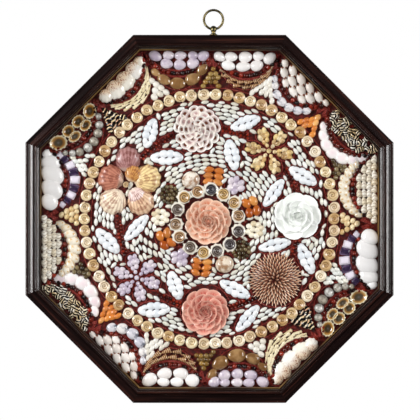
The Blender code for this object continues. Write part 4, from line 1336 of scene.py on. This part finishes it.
spiny = shell_finish("spiny_shell", ((180, 140, 104), (120, 80, 56)), 0.4, 0.15, draw=shaded_feet)
spine_places = []
for k in range(SPINES):
    angle, out = GOLDEN_ANGLE * k, math.sqrt((k + 0.5) / SPINES)
    lean = LEANING + UPRIGHT * (1 - out)
    at = DIAL["spiny_dome"] + polar(DOME_RADIUS * out, angle)
    low = DOME_RISE * (1 - out ** 2) + SPINE_FOOT
    spine_places.append(place(at, angle, SPINE_SIZE, low, lean))
strew("dome_of_spines", SPINE, spine_places, spiny, replaces=["spiny_dome"])

bm = bmesh.new()
bmesh.ops.create_uvsphere(bm, u_segments=32, v_segments=12, radius=MOUND_RADIUS)
bmesh.ops.bisect_plane(bm, geom=bm.verts[:] + bm.edges[:] + bm.faces[:], plane_co=(0, 0, 0),
                       plane_no=(0, 0, -1), clear_outer=True)
bmesh.ops.holes_fill(bm, edges=open_edges(bm))
bmesh.ops.scale(bm, vec=(1, 1, MOUND_FLATNESS), verts=bm.verts)
bmesh.ops.translate(bm, vec=(*DIAL["spiny_dome"], 0), verts=bm.verts)
bm.transform(LAY)
show("dome_wax", mesh_from(bm, "dome_wax"), wax.material)
print("spines:", SPINES)

# %% [markdown]
# ### The flowers
# The gold and lilac flowers are six petals each, outlined in cord and filled with small shells
# that grow outwards. The outlines are kept in a list, because all the cords of the dial become
# one piece at the end.

# %% Gold and lilac flowers
cord_lines = []
FLOWER_PETALS, FLOWER_RADIUS, BUTTON = 6, 0.0305, (0.0066, 0.0066, 0.006)
FLOWER_STARTS = {"gold_flower": 50, "lilac_flower": 42}
# Each shell of a petal: along and across it, as shares of the flower's radius, and its scale.
PETAL_SHELLS = ((0.25, 0.0, 0.72), (0.42, 0.075, 0.80), (0.46, -0.085, 0.84), (0.62, 0.155, 0.95),
                (0.66, -0.145, 0.98), (0.67, 0.005, 0.95), (0.85, 0.085, 1.0), (0.86, -0.095, 0.96))


def almond(centre, turn, length, width, point, count=14, belly=0.0):
    """A closed outline of a leaf or petal; belly moves its widest place towards the far end."""
    line = []
    for k in range(2 * count + 1):
        t = math.pi * k / count
        x = 0.5 * length * math.cos(t)
        y = 0.5 * width * math.copysign(abs(math.sin(t)) ** point, math.sin(t)) * (1 + belly * math.cos(t))
        line.append(Vector(centre) + Matrix.Rotation(math.radians(turn), 2) @ Vector((x, y)))
    return line


def filled_flower(name, piece, form, size, finish):
    """Six outlined petals, each filled with eight small shells."""
    chance = random.Random(piece)
    centre, radius = DIAL[name], FLOWER_RADIUS
    places = [place(centre, 0, BUTTON, 0.001)]
    for k in range(FLOWER_PETALS):
        turn = FLOWER_STARTS[name] + 360 * k / FLOWER_PETALS
        middle = Vector(centre) + polar(0.55 * radius, turn)
        cord_lines.append(almond(middle, turn, 0.98 * radius, 0.60 * radius, 0.9, belly=0.30))
        for along, across, scale in PETAL_SHELLS:
            at = Vector(centre) + polar(along * radius, turn) + polar(across * radius, turn + 90)
            sized = [part * scale * chance.uniform(0.94, 1.06) for part in size]
            places.append(place(at, turn + across * 160 + chance.uniform(-14, 14), sized, 0.0006, 6))
    strew(piece, form, places, finish, replaces=[name])
    print(piece, len(places))


gold = shell_finish("gold_shell", ((240, 218, 162), (216, 180, 114), (248, 234, 196), (190, 146, 82)),
                    0.22, 0.5, 0.12, draw=clouds(rgb(120, 78, 38), 0.62, 3.0))
filled_flower("gold_flower", "gold_petals", OVAL, (0.0092, 0.0068, 0.0062), gold)
filled_flower("lilac_flower", "lilac_petals", PEBBLE, (0.0084, 0.0070, 0.0058), lilac)

# %% [markdown]
# The seventh medallion is a flower of seven whole scallops round a snail. Rays fan out from each
# hinge, and patches break them, as a scallop's colour grows.

# %% Scallop flower
def fan_stripes(finish, colour):
    own = finish.own()
    x, y, _ = finish.parts(own)
    fan = finish.math("ARCTAN2", y, finish.plus(x, HINGE))
    rays = finish.above(finish.math("SINE", finish.times(fan, 40.0)), 0.10)
    patches = finish.above(finish.noise(3.4, own, 3.0), 0.54)
    marks = finish.plus(finish.times(patches, 0.40), finish.times(rays, 0.34))
    striped = finish.mix(marks, colour, finish.shaded(colour, rgb(150, 88, 66)))
    hinge = finish.ramp(finish.plus(x, 0.5), [(0.06, 0.5), (0.22, 0)])
    return finish.mix(hinge, striped, rgb(240, 226, 206))


scallop_finish = shell_finish("scallop_flower_shell",
                              ((190, 126, 104), (176, 130, 128), (244, 218, 160), (234, 200, 166),
                               (246, 230, 204), (246, 224, 218), (208, 152, 88)),
                              0.34, 0.25, 0.2, draw=fan_stripes)
# Each scallop: how far from the flower's middle, at what angle and how wide, in pixels of the
# photograph, its tone, and how high it lies in millimetres.
FLOWER_SCALLOPS = ((18.3, 167, 26.5, 0, 0.4), (22.7, 91.5, 25.5, 1, 0.0), (19.0, 10.5, 27.5, 2, 1.4),
                   (23.0, -58, 27.0, 3, 0.4), (24.5, -129, 27.0, 4, 1.0), (15.8, -58.5, 17.5, 5, 4.2),
                   (9.4, 59, 17.0, 6, 5.0))
scallop_places, scallop_spots = [], []
for reach, angle, across, tone, low in FLOWER_SCALLOPS:
    step = polar(reach, angle)
    middle = photo(*(Vector(DIAL_PIXELS["scallop_flower"]) + Vector((step.x, -step.y))))
    wide = across * PIXEL
    scallop_spots.append((middle, wide))
    scallop_places.append(place(middle, angle, (wide * 0.97, wide, wide * 0.26), low * MM, tilt=4,
                                tone=tone / 6))
strew("flower_of_scallops", SCALLOP, scallop_places, scallop_finish,
      replaces=["scallop_flower"])
strew("scallop_flower_snail", SNAIL,
      [place(DIAL["scallop_flower_snail"], 30, (0.0078, 0.0078, 0.006), 0.0055)], tan_snail)
print("scallops:", len(scallop_places))

# %% [markdown]
# ### Leaves
# A leaf is two rows of glossy white shells that overlap towards its tip, like the barbs of a
# feather, inside an outline of cord. One function lays a leaf of any size, and a table says
# where the fourteen lie.

# %% Leaves
# Each leaf as seen in the photograph: its middle in pixels, its turn, and its size in millimetres.
LEAVES = ((150.6, 133.8, 73, 37, 18.5), (167.3, 158.1, 0, 40, 19), (245.3, 123.9, 20, 38, 18),
          (231.7, 155.3, 102, 38, 19.5), (302.2, 176.5, -31, 38, 18.5), (273.2, 193.0, 54, 40, 16.5),
          (305.5, 258.7, -67, 40, 18), (274.4, 244.9, 12, 40, 16.5), (247.4, 317.6, 49, 41, 16.5),
          (234.8, 288.9, -28, 41, 18), (154.5, 309.1, 3, 39, 19.5), (175.4, 285.1, -72, 36, 19),
          (108.6, 241.0, -47, 39, 19), (137.1, 227.6, 47, 41, 16.5))
LEAF_PAIRS, LEAF_TIPS = (-0.33, -0.12, 0.09, 0.29), (-0.40, 0.39)


def leaf_shells(centre, turn, length, width, chance):
    """Two rows of round shells that meet on the midrib, and one at either tip."""
    places = []
    axes = Matrix.Rotation(math.radians(turn), 2)
    for along in LEAF_PAIRS:
        for row in (-1, 1):
            half = 0.5 * width * math.cos(math.pi * along * 0.84)
            spot = Vector(centre) + axes @ Vector(((along + 0.02 * row) * length, row * half * 0.50))
            size = (half * 1.10, 0.29 * length * chance.uniform(0.97, 1.05), 0.0052)
            places.append(place(spot, turn + row * (90 - 60 * along), size, 0.0012 * (along + 0.4)))
    for along in LEAF_TIPS:
        spot = Vector(centre) + axes @ Vector((along * length, 0))
        places.append(place(spot, turn, (0.25 * length, 0.52 * width, 0.0044)))
    return places


leaf_white = shell_finish("leaf_shell", ((230, 233, 236), (240, 241, 242), (220, 225, 230), (235, 236, 237)),
                          0.16, 0.6, 0.05)
leaves = []
chance = random.Random(14)
for across, down, turn, length, width in LEAVES:
    leaves += leaf_shells(photo(across, down), turn, length * MM, width * MM, chance)
    cord_lines.append(almond(photo(across, down), turn, (length + 3.4) * MM, (width + 2.4) * MM, 0.80))
leaf_nodes = ["leaf_%s_%d" % (side, k) for side in ("outer", "inner") for k in range(1, 8)]
strew("leaves", PEBBLE, leaves, leaf_white, replaces=leaf_nodes)
print("leaf shells:", len(leaves))

# %% [markdown]
# ### The garland
# Two rows of dark red beads run between two cords on the circle of the medallions, and break off
# where a medallion stands. Each medallion has an angle and a reach, and the reach as seen from
# the dial's middle is an angle too, which is what the garland is trimmed by at both ends.

# %% Garland
# Each medallion: its angle on the circle, and how far the garland and the rice keep from its middle.
MEDALLIONS = ((155.7, 0.0345), (97.8, 0.0312), (48.7, 0.0322), (1.9, 0.0312), (-42.9, 0.0340),
              (-92.5, 0.0318), (-141.2, 0.0322))
BEAD_PITCH, BEAD_ROWS, CORD_ROWS = 0.0043, 0.0020, 0.0045
GARLAND_BEAD = (0.0041, 0.0042, 0.0040)
dark_bead = shell_finish("garland_bead", ((28, 9, 8), (84, 24, 18), (146, 46, 30), (44, 12, 10)), 0.2, 0.6)
garland = []
for index in range(7):
    first, gap = MEDALLIONS[index]
    second, next_gap = MEDALLIONS[(index + 1) % 7]
    trim = [2 * math.degrees(math.asin(part / 2 / MEDALLION_CIRCLE)) for part in (gap, next_gap)]
    span = (first - second) % 360 - sum(trim)
    steps = int(math.radians(span) * MEDALLION_CIRCLE / BEAD_PITCH)
    for side in (-CORD_ROWS, CORD_ROWS):
        cord_lines.append([polar(MEDALLION_CIRCLE + side, first - trim[0] - span * k / 12)
                           for k in range(13)])
    for k in range(steps + 1):
        angle = first - trim[0] - span * k / steps
        for row in (-1, 1):
            at = polar(MEDALLION_CIRCLE + row * BEAD_ROWS, angle + 0.5 * row)
            garland.append(place(at, angle, GARLAND_BEAD))
strew("garland_of_beads", BEAD, garland, dark_bead, replaces=["bead_garland"])
print("garland beads:", len(garland))

# %% [markdown]
# ### Clusters
# Twelve clusters of six kinds, each in a ring of cord, stand round the middle. A kind is a form,
# a finish, a size and a list of places, and each cluster faces away from the dial's middle.

# %% Clusters
amber_white = shell_finish("amber_white_shell", ((226, 208, 184), (240, 232, 220)), 0.16, 0.6, 0.0,
                           draw=clouds(rgb(146, 100, 58), 0.85, 2.6))
orange = shell_finish("orange_shell", ((176, 88, 30), (206, 124, 56), (160, 74, 26),
                                       (220, 154, 84), (190, 102, 40)), 0.2, 0.5)
popcorn = shell_finish("popcorn_shell", ((236, 226, 202), (246, 240, 224), (218, 202, 170)), 0.3, 0.3, 0.3)
olive = shell_finish("olive_shell", ((56, 44, 28), (98, 82, 54), (38, 30, 21), (140, 122, 88), (70, 54, 34)),
                     0.16, 0.6)

# Each cluster's middle in pixels of the photograph, and its kind.
CLUSTERS = (((191, 180.5), "amber"), ((213.5, 176.5), "six_orange"), ((235, 186), "lilac"),
            ((251, 207), "four_orange"), ((253, 229.5), "popcorn"), ((241, 249.5), "olive"),
            ((224.5, 264), "amber"), ((201.5, 267), "six_orange"), ((180.5, 257), "lilac"),
            ((166, 239), "four_orange"), ((162, 217.5), "popcorn"), ((170, 195), "olive"))
# Places in a cluster: outwards and to the side, in metres.
PAIRS = [(out, side) for out in (-0.0048, 0.0048) for side in (-0.0064, 0.0064)]
SIXES = [(out, side) for out in (-0.0072, 0.0, 0.0072) for side in (-0.0064, 0.0064)]
FAN = ((-0.0062, -0.0034), (-0.0062, 0.0034), (0.0000, 0.0), (0.0016, -0.0078), (0.0016, 0.0078),
       (0.0066, -0.0036), (0.0066, 0.0040))
HEAP = ((-0.006, -0.004), (-0.006, 0.003), (-0.001, -0.0072), (-0.001, 0.0), (-0.001, 0.0072),
        (0.005, -0.0072), (0.005, 0.0), (0.005, 0.0068), (0.0092, -0.0034), (0.0092, 0.0034))
SEEDS = [tuple(polar(radius, angle)) for radius, count in ((0.0001, 1), (0.0053, 6), (0.0103, 12))
         for angle in range(7 * count, 7 * count + 360, 360 // count)]
CLUSTER_KINDS = {"amber": (PEBBLE, amber_white, [(0, 0)], (0.0220, 0.0232, 0.0096)),
                 "four_orange": (OVAL, orange, PAIRS, (0.0108, 0.0142, 0.0070)),
                 "six_orange": (OVAL, orange, SIXES, (0.0084, 0.0134, 0.0064)),
                 "lilac": (PEBBLE, lilac, FAN, (0.0106, 0.0080, 0.0062)),
                 "popcorn": (PEBBLE, popcorn, HEAP, (0.0080, 0.0074, 0.0064)),
                 "olive": (BEAD, olive, SEEDS, (0.0057, 0.0053, 0.0050))}
# A shell to the side of its cluster's middle is splayed outwards, by degrees for each metre.
SPLAY, CLUSTER_LENGTH, CLUSTER_WIDTH = 2600, 0.0256, 0.0276
for kind, (form, finish, spread, size) in CLUSTER_KINDS.items():
    chance = random.Random(kind)
    places = []
    for centre in [photo(*pixel) for pixel, of_kind in CLUSTERS if of_kind == kind]:
        turn = turn_of(centre - DIAL["middle"])
        for out, side in spread:
            spot = centre + polar(out, turn) + polar(side, turn + 90)
            places.append(place(spot, turn + side * SPLAY + chance.uniform(-12, 12), size))
        cord_lines.append(almond(centre, turn, CLUSTER_LENGTH, CLUSTER_WIDTH, 0.8, count=10))
    strew("cluster_" + kind, form, places, finish,
          replaces=["cluster_ring"] if kind == "amber" else [])
    print("cluster", kind, len(places))

# %% [markdown]
# ### The field
# Rice shells fill what is left of the dial. They lie end to end in rings, each ring shifted by
# half a shell against the last, and a shell is left out wherever it would touch something. So
# the test for free ground is the heart of this step: it knows every outline on the dial.

# %% Free ground on the dial
FIELD_EDGE = SNAIL_CIRCLE - 0.0090
GARLAND_KEEPS, MIDDLE_KEEPS, CLUSTER_KEEPS = 0.0052, 0.0476, 0.0136
PETAL_MIDDLE, PETAL_HALF = 0.0172, (0.0176, 0.0104)
round_pieces = [(polar(MEDALLION_CIRCLE, angle), size + 0.0002)
                for angle, size in MEDALLIONS[1:2] + MEDALLIONS[3:6]]
round_pieces += [(spot, wide / 2 + 0.0008) for spot, wide in scallop_spots]
round_pieces += [(photo(*at), CLUSTER_KEEPS) for at, _ in CLUSTERS]
# Each oval: its middle, its turn, and half its length and width.
ovals = [(photo(across, down), turn, (length / 2 + 3.2) * MM, (width / 2 + 2.5) * MM)
         for across, down, turn, length, width in LEAVES]
for name, start in FLOWER_STARTS.items():
    ovals += [(DIAL[name] + polar(PETAL_MIDDLE, turn), turn, *PETAL_HALF)
              for turn in range(start, start + 360, 360 // FLOWER_PETALS)]


def free_ground(point):
    """True where nothing else stands on the dial."""
    radius = point.length
    if radius > FIELD_EDGE or abs(radius - MEDALLION_CIRCLE) < GARLAND_KEEPS:
        return False
    if (point - DIAL["middle"]).length < MIDDLE_KEEPS:
        return False
    if any((point - middle).length < reach for middle, reach in round_pieces):
        return False
    for middle, turn, half_length, half_width in ovals:
        local = Matrix.Rotation(math.radians(-turn), 2) @ (point - middle)
        if (local.x / half_length) ** 2 + (local.y / half_width) ** 2 < 1:
            return False
    return True


print("round pieces:", len(round_pieces), "ovals:", len(ovals))

# %% [markdown]
# A second test keeps the rice shells apart. The shells already laid are kept in the cells of a
# coarse grid, and a new one is only compared with those in its own and the next cells.

# %% Rice shells in rings
RICE = Vector((0.0102, 0.0051))
CELL = 0.012
STEP, RING_PITCH, RINGS, RING_CLOSENESS = 0.0006, 0.98, 21, 0.93
# The rings are centred on the coral rose inside, on the octagon outside, and drift in between.
DRIFT_ENDS, DRIFT = 0.118, 0.045
# What the gaps are filled with: the scale of the smaller shells, and how often one is tried.
GAP_SHELLS, GAP_CLOSENESS, GAP_TURNS = ((0.95, 9000), (0.78, 9000)), 0.62, (0, 0, 30, -30, 70, -70)


def crowded(at, laid, cell, closeness):
    """True where a shell already laid would touch one at this place."""
    for column in (-1, 0, 1):
        for row in (-1, 0, 1):
            for other, direction in laid.get((cell[0] + column, cell[1] + row), ()):
                apart = at - other
                length, width = apart.dot(direction) / RICE.x, apart.cross(direction) / RICE.y
                if abs(length) ** 3 + abs(width) ** 3 < closeness:
                    return True
    return False


def rice_at(at, angle, chance, laid, scale, closeness):
    """Lays one rice shell if its ground is free and no shell lies there yet."""
    along = polar(1, angle)
    if not all(free_ground(at + along * RICE.x * share * scale) for share in (-0.24, 0.24)):
        return []
    cell = (round(at.x / CELL), round(at.y / CELL))
    if crowded(at, laid, cell, closeness):
        return []
    laid.setdefault(cell, []).append((at, along))
    size = (RICE.x * chance.uniform(0.96, 1.08) * scale, RICE.y * chance.uniform(0.98, 1.12) * scale, 0.0046)
    return [place(at, angle + chance.uniform(-4, 4), size)]


def rice_rings():
    """Rings are laid first, shell after shell, and then smaller shells wherever a gap is left."""
    chance = random.Random(900)
    laid, places = {}, []
    for ring in range(RINGS):
        radius = FIELD_EDGE - ring * RICE.y * RING_PITCH
        middle = DIAL["middle"] * min(1.0, max(0.0, (DRIFT_ENDS - radius) / DRIFT))
        steps = int(2 * math.pi * radius / STEP)
        for k in range(steps):
            angle = 360 * k / steps + 77 * ring
            at = middle + polar(radius, angle)
            places += rice_at(at, angle + 90, chance, laid, 1.0, RING_CLOSENESS)
    for scale, tries in GAP_SHELLS:
        for _ in range(tries):
            angle = chance.uniform(0, 360)
            at = polar(chance.uniform(0.050, FIELD_EDGE), angle)
            turn = angle + 90 + chance.choice(GAP_TURNS) + chance.uniform(-14, 14)
            places += rice_at(at, turn, chance, laid, scale, GAP_CLOSENESS * scale)
    return places


rice_finish = shell_finish("rice_shell", ((222, 223, 214), (234, 234, 229), (214, 218, 214), (224, 221, 206),
                                          (238, 237, 232), (212, 208, 192), (228, 229, 222)), 0.2, 0.5, 0.06)
rice = rice_rings()
strew("rice_field", GRAIN, rice, rice_finish)
print("rice shells:", len(rice))

# %% [markdown]
# The last cords of the dial are rings: round the roses and the dome, on both sides of the tan
# snails, and round the middle. Then every cord that was listed so far becomes one piece.

# %% Cords of the dial
SCALLOP_FLOWER_REACH = 0.0322
SNAIL_CORDS, MIDDLE_CORD, DIAL_CORD = 0.0079, 0.0464, 0.00065
for angle, reach in MEDALLIONS:
    if reach != SCALLOP_FLOWER_REACH:
        cord_lines.append([polar(MEDALLION_CIRCLE, angle) + polar(reach - 0.0004, 10 * k)
                           for k in range(37)])
for radius in (SNAIL_CIRCLE - SNAIL_CORDS, SNAIL_CIRCLE + SNAIL_CORDS):
    cord_lines.append([polar(radius, 4 * k) for k in range(91)])
cord_lines.append([DIAL["middle"] + polar(MIDDLE_CORD, 9 * k) for k in range(41)])
cords("dial_cords", cord_lines, DIAL_CORD)
print("cords:", len(cord_lines))

# %% [markdown]
# ### Crescents
# Outside each band of beads lies a crescent of other shells. It keeps to the level of its
# lunette, and it stops where the next lunette's ground begins. Eight kinds come round twice, as
# the lunettes do, so a table gives each kind its form, finish and size. The marks come first.

# %% Marks of the shells in the crescents
def brown_stripes(finish, colour):
    """Pale bands across the shell's length."""
    own = finish.own()
    bands = finish.node("TexWave", {"wave_type": "BANDS", "bands_direction": "X"}, Vector=own, Scale=2.0,
                        Distortion=1.2)
    return finish.mix(finish.above(bands.outputs["Fac"], 0.72), colour, rgb(206, 170, 128))


def patches(low, high, amount, scale, shade):
    """Cloudy patches of another shade, that lie alike on every shell of a kind."""
    def draw(finish, colour):
        cloud = finish.noise(scale, finish.own(), 3.0)
        return finish.mix(finish.ramp(cloud, [(low, 0), (high, amount)]), colour, shade)
    return draw


def pink_middle(finish, colour):
    """A faint pink middle, and painted shade along the rim, which parts each disc from the one it overlaps.
    """
    x, y, _ = finish.parts()
    reach = finish.reach(x, y)
    wobble = finish.times(finish.noise(3.0, finish.own()), 0.25)
    share = finish.ramp(finish.plus(reach, wobble), [(0.14, 0.42), (0.50, 0)])
    # Painted shade: the rim is darkened, so the overlapping discs stay apart.
    rim = finish.ramp(reach, [(0.40, 0), (0.47, 0.8)])
    return finish.mix(rim, finish.mix(share, colour, rgb(214, 170, 184)), rgb(176, 148, 146))


def two_kinds(finish, colour):
    """Dark violet pieces alternate with white ones, by their tone."""
    violet = finish.ramp(finish.noise(1.6, finish.own()),
                         [(0.40, rgb(46, 34, 58)), (0.62, rgb(108, 84, 118))])
    return finish.mix(finish.below(finish.tone(), 0.5), colour, violet)


def glassy_shade_below(finish, colour):
    """Painted shade round the foot, fading out towards the top, which keeps its own bright colour, so the
    beads look glassy; grey cloudy patches lie under it.
    """
    own = finish.own()
    z = finish.parts(own)[2]
    cloudy = finish.ramp(finish.noise(2.4, own, 3.0), [(0.46, 0), (0.64, 0.8)])
    colour = finish.mix(cloudy, colour, rgb(104, 98, 90))
    # Painted shade round the foot of each bead.
    return finish.mix(finish.ramp(z, [(0.46, 0.95), (0.95, 0)]), colour, rgb(58, 50, 44))


print("marks ready")

# %% Finishes of the crescents
tawny = shell_finish("tawny_shell", ((112, 78, 46), (140, 102, 62), (96, 66, 38), (160, 122, 80)),
                     0.10, 0.9, draw=clouds(rgb(186, 150, 104), 0.5))
striped_snail = shell_finish("striped_snail", ((116, 76, 46), (140, 94, 58), (88, 56, 36)),
                             0.25, 0.4, draw=brown_stripes)
moon = shell_finish("moonstone_shell", ((224, 220, 222), (204, 202, 212), (234, 228, 224)),
                    0.12, 0.7, 0.05, draw=patches(0.46, 0.62, 0.9, 2.0, rgb(92, 96, 112)))
blush = shell_finish("blush_shell", ((244, 239, 237), (248, 245, 242), (238, 228, 228)),
                     0.2, 0.5, 0.04, draw=pink_middle)
gilt_white = shell_finish("gilt_white_shell", ((234, 226, 208), (226, 214, 192)),
                          0.16, 0.6, 0.05, draw=patches(0.52, 0.60, 0.8, 3.2, rgb(206, 160, 86)))
purple_white = shell_finish("purple_white_shell", ((238, 232, 236), (222, 214, 226)),
                            0.14, 0.6, 0.05, draw=two_kinds)
silver = shell_finish("silver_shell", ((206, 202, 192), (176, 166, 150), (224, 222, 218), (158, 146, 128)),
                      0.08, 1.0, 0.05, draw=glassy_shade_below)
spindle = shell_finish("spindle_shell", ((222, 206, 166), (236, 224, 192), (204, 184, 140)), 0.28, 0.3, 0.2)
print("finishes: 8")

# %% Crescents
HALF_ARC = 0.0637
# Where a row starts and ends, as shares of the crescent's reach, and how far every second row is
# shifted, as a share of a shell's length.
ROW_START, ROW_END, ROW_SHIFT = -0.94, 0.92, 0.3


def owns(lunette, point):
    """True where the lunette's own level is lower than both of its neighbours' levels."""
    others = [lunettes[(lunette.number + step) % 16].level(point) for step in (-1, 1)]
    return lunette.level(point) + 0.0010 < min(others) and on_bed(point, 0.004)


def crescent(lunette, rows, size, turn, chance, pace, paired):
    """Chains of shells between the band and the crescent's outer edge; rows are shares of its width."""
    places = []
    for index, row in enumerate(rows):
        share, count = ROW_START * CRESCENT_REACH + ROW_SHIFT * (index % 2) * size[0] * MM / HALF_ARC, 0
        while share < ROW_END * CRESCENT_REACH:
            swell = (lunette.outside(share) - BAND_OUTSIDE) / (CRESCENT_OUTSIDE - BAND_OUTSIDE)
            step = size[0] * MM * (0.5 + 0.5 * swell) * pace / HALF_ARC
            middle = share + step / 2 + chance.uniform(-0.01, 0.01)
            level = BAND_OUTSIDE + 0.0006 + row * (lunette.outside(middle) - BAND_OUTSIDE - 0.0004)
            at, along = lunette.on_arc(level, middle)
            across = 0.42 + 0.62 * swell
            sized = (size[0] * MM * (0.52 + 0.5 * swell), size[1] * MM * across,
                     size[2] * MM * (0.6 + 0.4 * swell))
            share, count = share + step, count + 1
            if owns(lunette, at):
                places.append(place(at, along + turn + chance.uniform(-6, 6), sized, 0.0004 * (count % 2), 3,
                                    tone=(0.1, 0.9)[count % 2] if paired else None))
    return places


# Each kind: name, form, finish, slot, rows, size in millimetres, turn, and the pace of the shells
# as a share of their length.
CRESCENTS = (("tawny", EGG, tawny, "limpet_shell", (0.5,), (20, 15, 8.4), 0, 0.94),
             ("striped_snails", SPIRE, striped_snail, "snail_shell", (0.26, 0.76),
              (14.5, 7.6, 6.4), 8, 0.86),
             ("moonstones", EGG, moon, "white_shell", (0.5,), (15.5, 14, 7.8), 12, 0.92),
             ("blush_discs", DISC, blush, "pink_shell", (0.5,), (25, 19.5, 5.0), 10, 0.64),
             ("gilt_notches", CLAM, gilt_white, "white_shell", (0.5,), (19, 14.5, 6.5), 52, 0.54),
             ("purple_facets", CHIP, purple_white, "lilac_shell", (0.5,), (11.5, 15, 5.0), 0, 0.96),
             ("silver_pearls", PEBBLE, silver, "grey_snail_shell", (0.46,), (11.6, 12.6, 8.0), 0, 0.98),
             ("spindles", SPIRE, spindle, "cream_shell", (0.12, 0.37, 0.62, 0.88),
              (15.5, 4.9, 4.2), 4, 0.82))
for number, (label, form, finish, slot, rows, size, turn, pace) in enumerate(CRESCENTS):
    places = []
    for lunette in (lunettes[number], lunettes[number + 8]):
        places += crescent(lunette, rows, size, turn, random.Random(lunette.number), pace, form is CHIP)
    strew("crescent_" + label, form, places, finish)
    print("crescent", label, len(places))

# %% [markdown]
# ### Patches at the junctions
# What is left between two crescents and the ring of snails is a small three-sided patch, with
# its point towards the frame. It's filled with something smaller, and its shells fan out from
# the point. The patches, too, are eight kinds that come round twice.

# %% Finishes of the patches
mustard = shell_finish("mustard_shell", ((122, 88, 42), (158, 122, 60), (92, 66, 34), (176, 146, 86)),
                       0.2, 0.5)
dark_fan = shell_finish("dark_fan_shell", ((226, 206, 160), (204, 150, 116), (240, 228, 200)),
                        0.25, 0.4, 0.0, draw=zebra(0.20))
apricot = shell_finish("apricot_shell", ((206, 116, 44), (230, 150, 74), (190, 96, 34),
                                         (238, 180, 110)), 0.2, 0.5)
pale_gold = shell_finish("pale_gold_shell", ((226, 202, 150), (240, 226, 188), (204, 168, 104)),
                         0.2, 0.5, 0.4, draw=clouds(rgb(178, 128, 66), 0.5, 3.2))
pearl = shell_finish("pearl_shell", ((226, 220, 208), (236, 232, 224), (214, 206, 190)), 0.18, 0.55, 0.06)
print("finishes: 5")

# %% Patches
PATCH_POINT, PATCH_MIDDLE = 0.1915, 0.182
PATCH_CORNERS = ((-0.036, -0.022), (0.036, 0.034))
PATCH_HALF_WIDTH, PATCH_GAP, SNAILS_KEEP, SNAIL_EDGE = 0.0175, 0.0012, 0.0100, 0.0073


def patch_places(number, size, turn, pitch, chance):
    """Fills the ground outside both crescents of a junction, from its point to the snail ring."""
    first, second = lunettes[number], lunettes[(number + 1) % 16]
    facing = turn_of((first.at(HALF_CHORD, 0) + second.at(-HALF_CHORD, 0)) / 2)

    def on_dial(point):
        return polar(PATCH_MIDDLE, facing) + polar(point.y, facing) + polar(point.x, facing + 90)

    def inside(point):
        spot = on_dial(point)
        clear = [lunette.level(spot) - lunette.outside(lunette.share(spot)) for lunette in (first, second)]
        share = (PATCH_POINT - spot.length) / (PATCH_POINT - SNAIL_CIRCLE - SNAIL_EDGE)
        room = PATCH_HALF_WIDTH * max(0.0, share) ** 0.85
        return (spot.length > SNAIL_CIRCLE + SNAILS_KEEP and abs(point.x) < room - PATCH_GAP
                and min(clear) > PATCH_GAP)

    places = []
    for point in grid_in(inside, pitch * MM, *PATCH_CORNERS, number, 0.10):
        sized = [part * MM * chance.uniform(0.92, 1.08) for part in size]
        fan = math.degrees(math.atan2(point.x, PATCH_CORNERS[1][1] - point.y)) * 0.8
        places.append(place(on_dial(point), facing + turn - fan + chance.uniform(-9, 9), sized))
    return places


# Each kind: name, form, finish, size in millimetres, turn, pitch of the grid in millimetres, slot.
PATCHES = (("mustard_seeds", PEBBLE, mustard, (6.9, 6.3, 5.4), 90, 6.1, "cluster_shell"),
           ("teardrops", OVAL, pearl, (10.0, 6.4, 5.0), 0, 6.6, "white_shell"),
           ("orange_rice", OVAL, apricot, (10.5, 7.0, 5.4), 0, 7.0, "cluster_shell"),
           ("olive_snails", PEBBLE, olive, (6.6, 6.0, 5.4), 90, 6.0, "snail_shell"),
           ("gold_cones", PEBBLE, pale_gold, (8.0, 7.2, 6.2), 60, 6.9, "gold_shell"),
           ("pale_rice", OVAL, rice_finish, (8.4, 5.8, 4.6), 0, 6.2, "white_shell"),
           ("dark_fans", OVAL, dark_fan, (13.5, 7.4, 5.4), 0, 7.2, "black_and_white_shell"),
           ("pearly_ovals", PEBBLE, pearl, (9.0, 8.2, 6.0), 30, 7.8, "white_shell"))
for number, (label, form, finish, size, turn, pitch, slot) in enumerate(PATCHES):
    places = []
    for junction in (number, number + 8):
        places += patch_places(junction, size, turn, pitch, random.Random(junction))
    strew("patch_" + label, form, places, finish)
    print("patch", label, len(places))
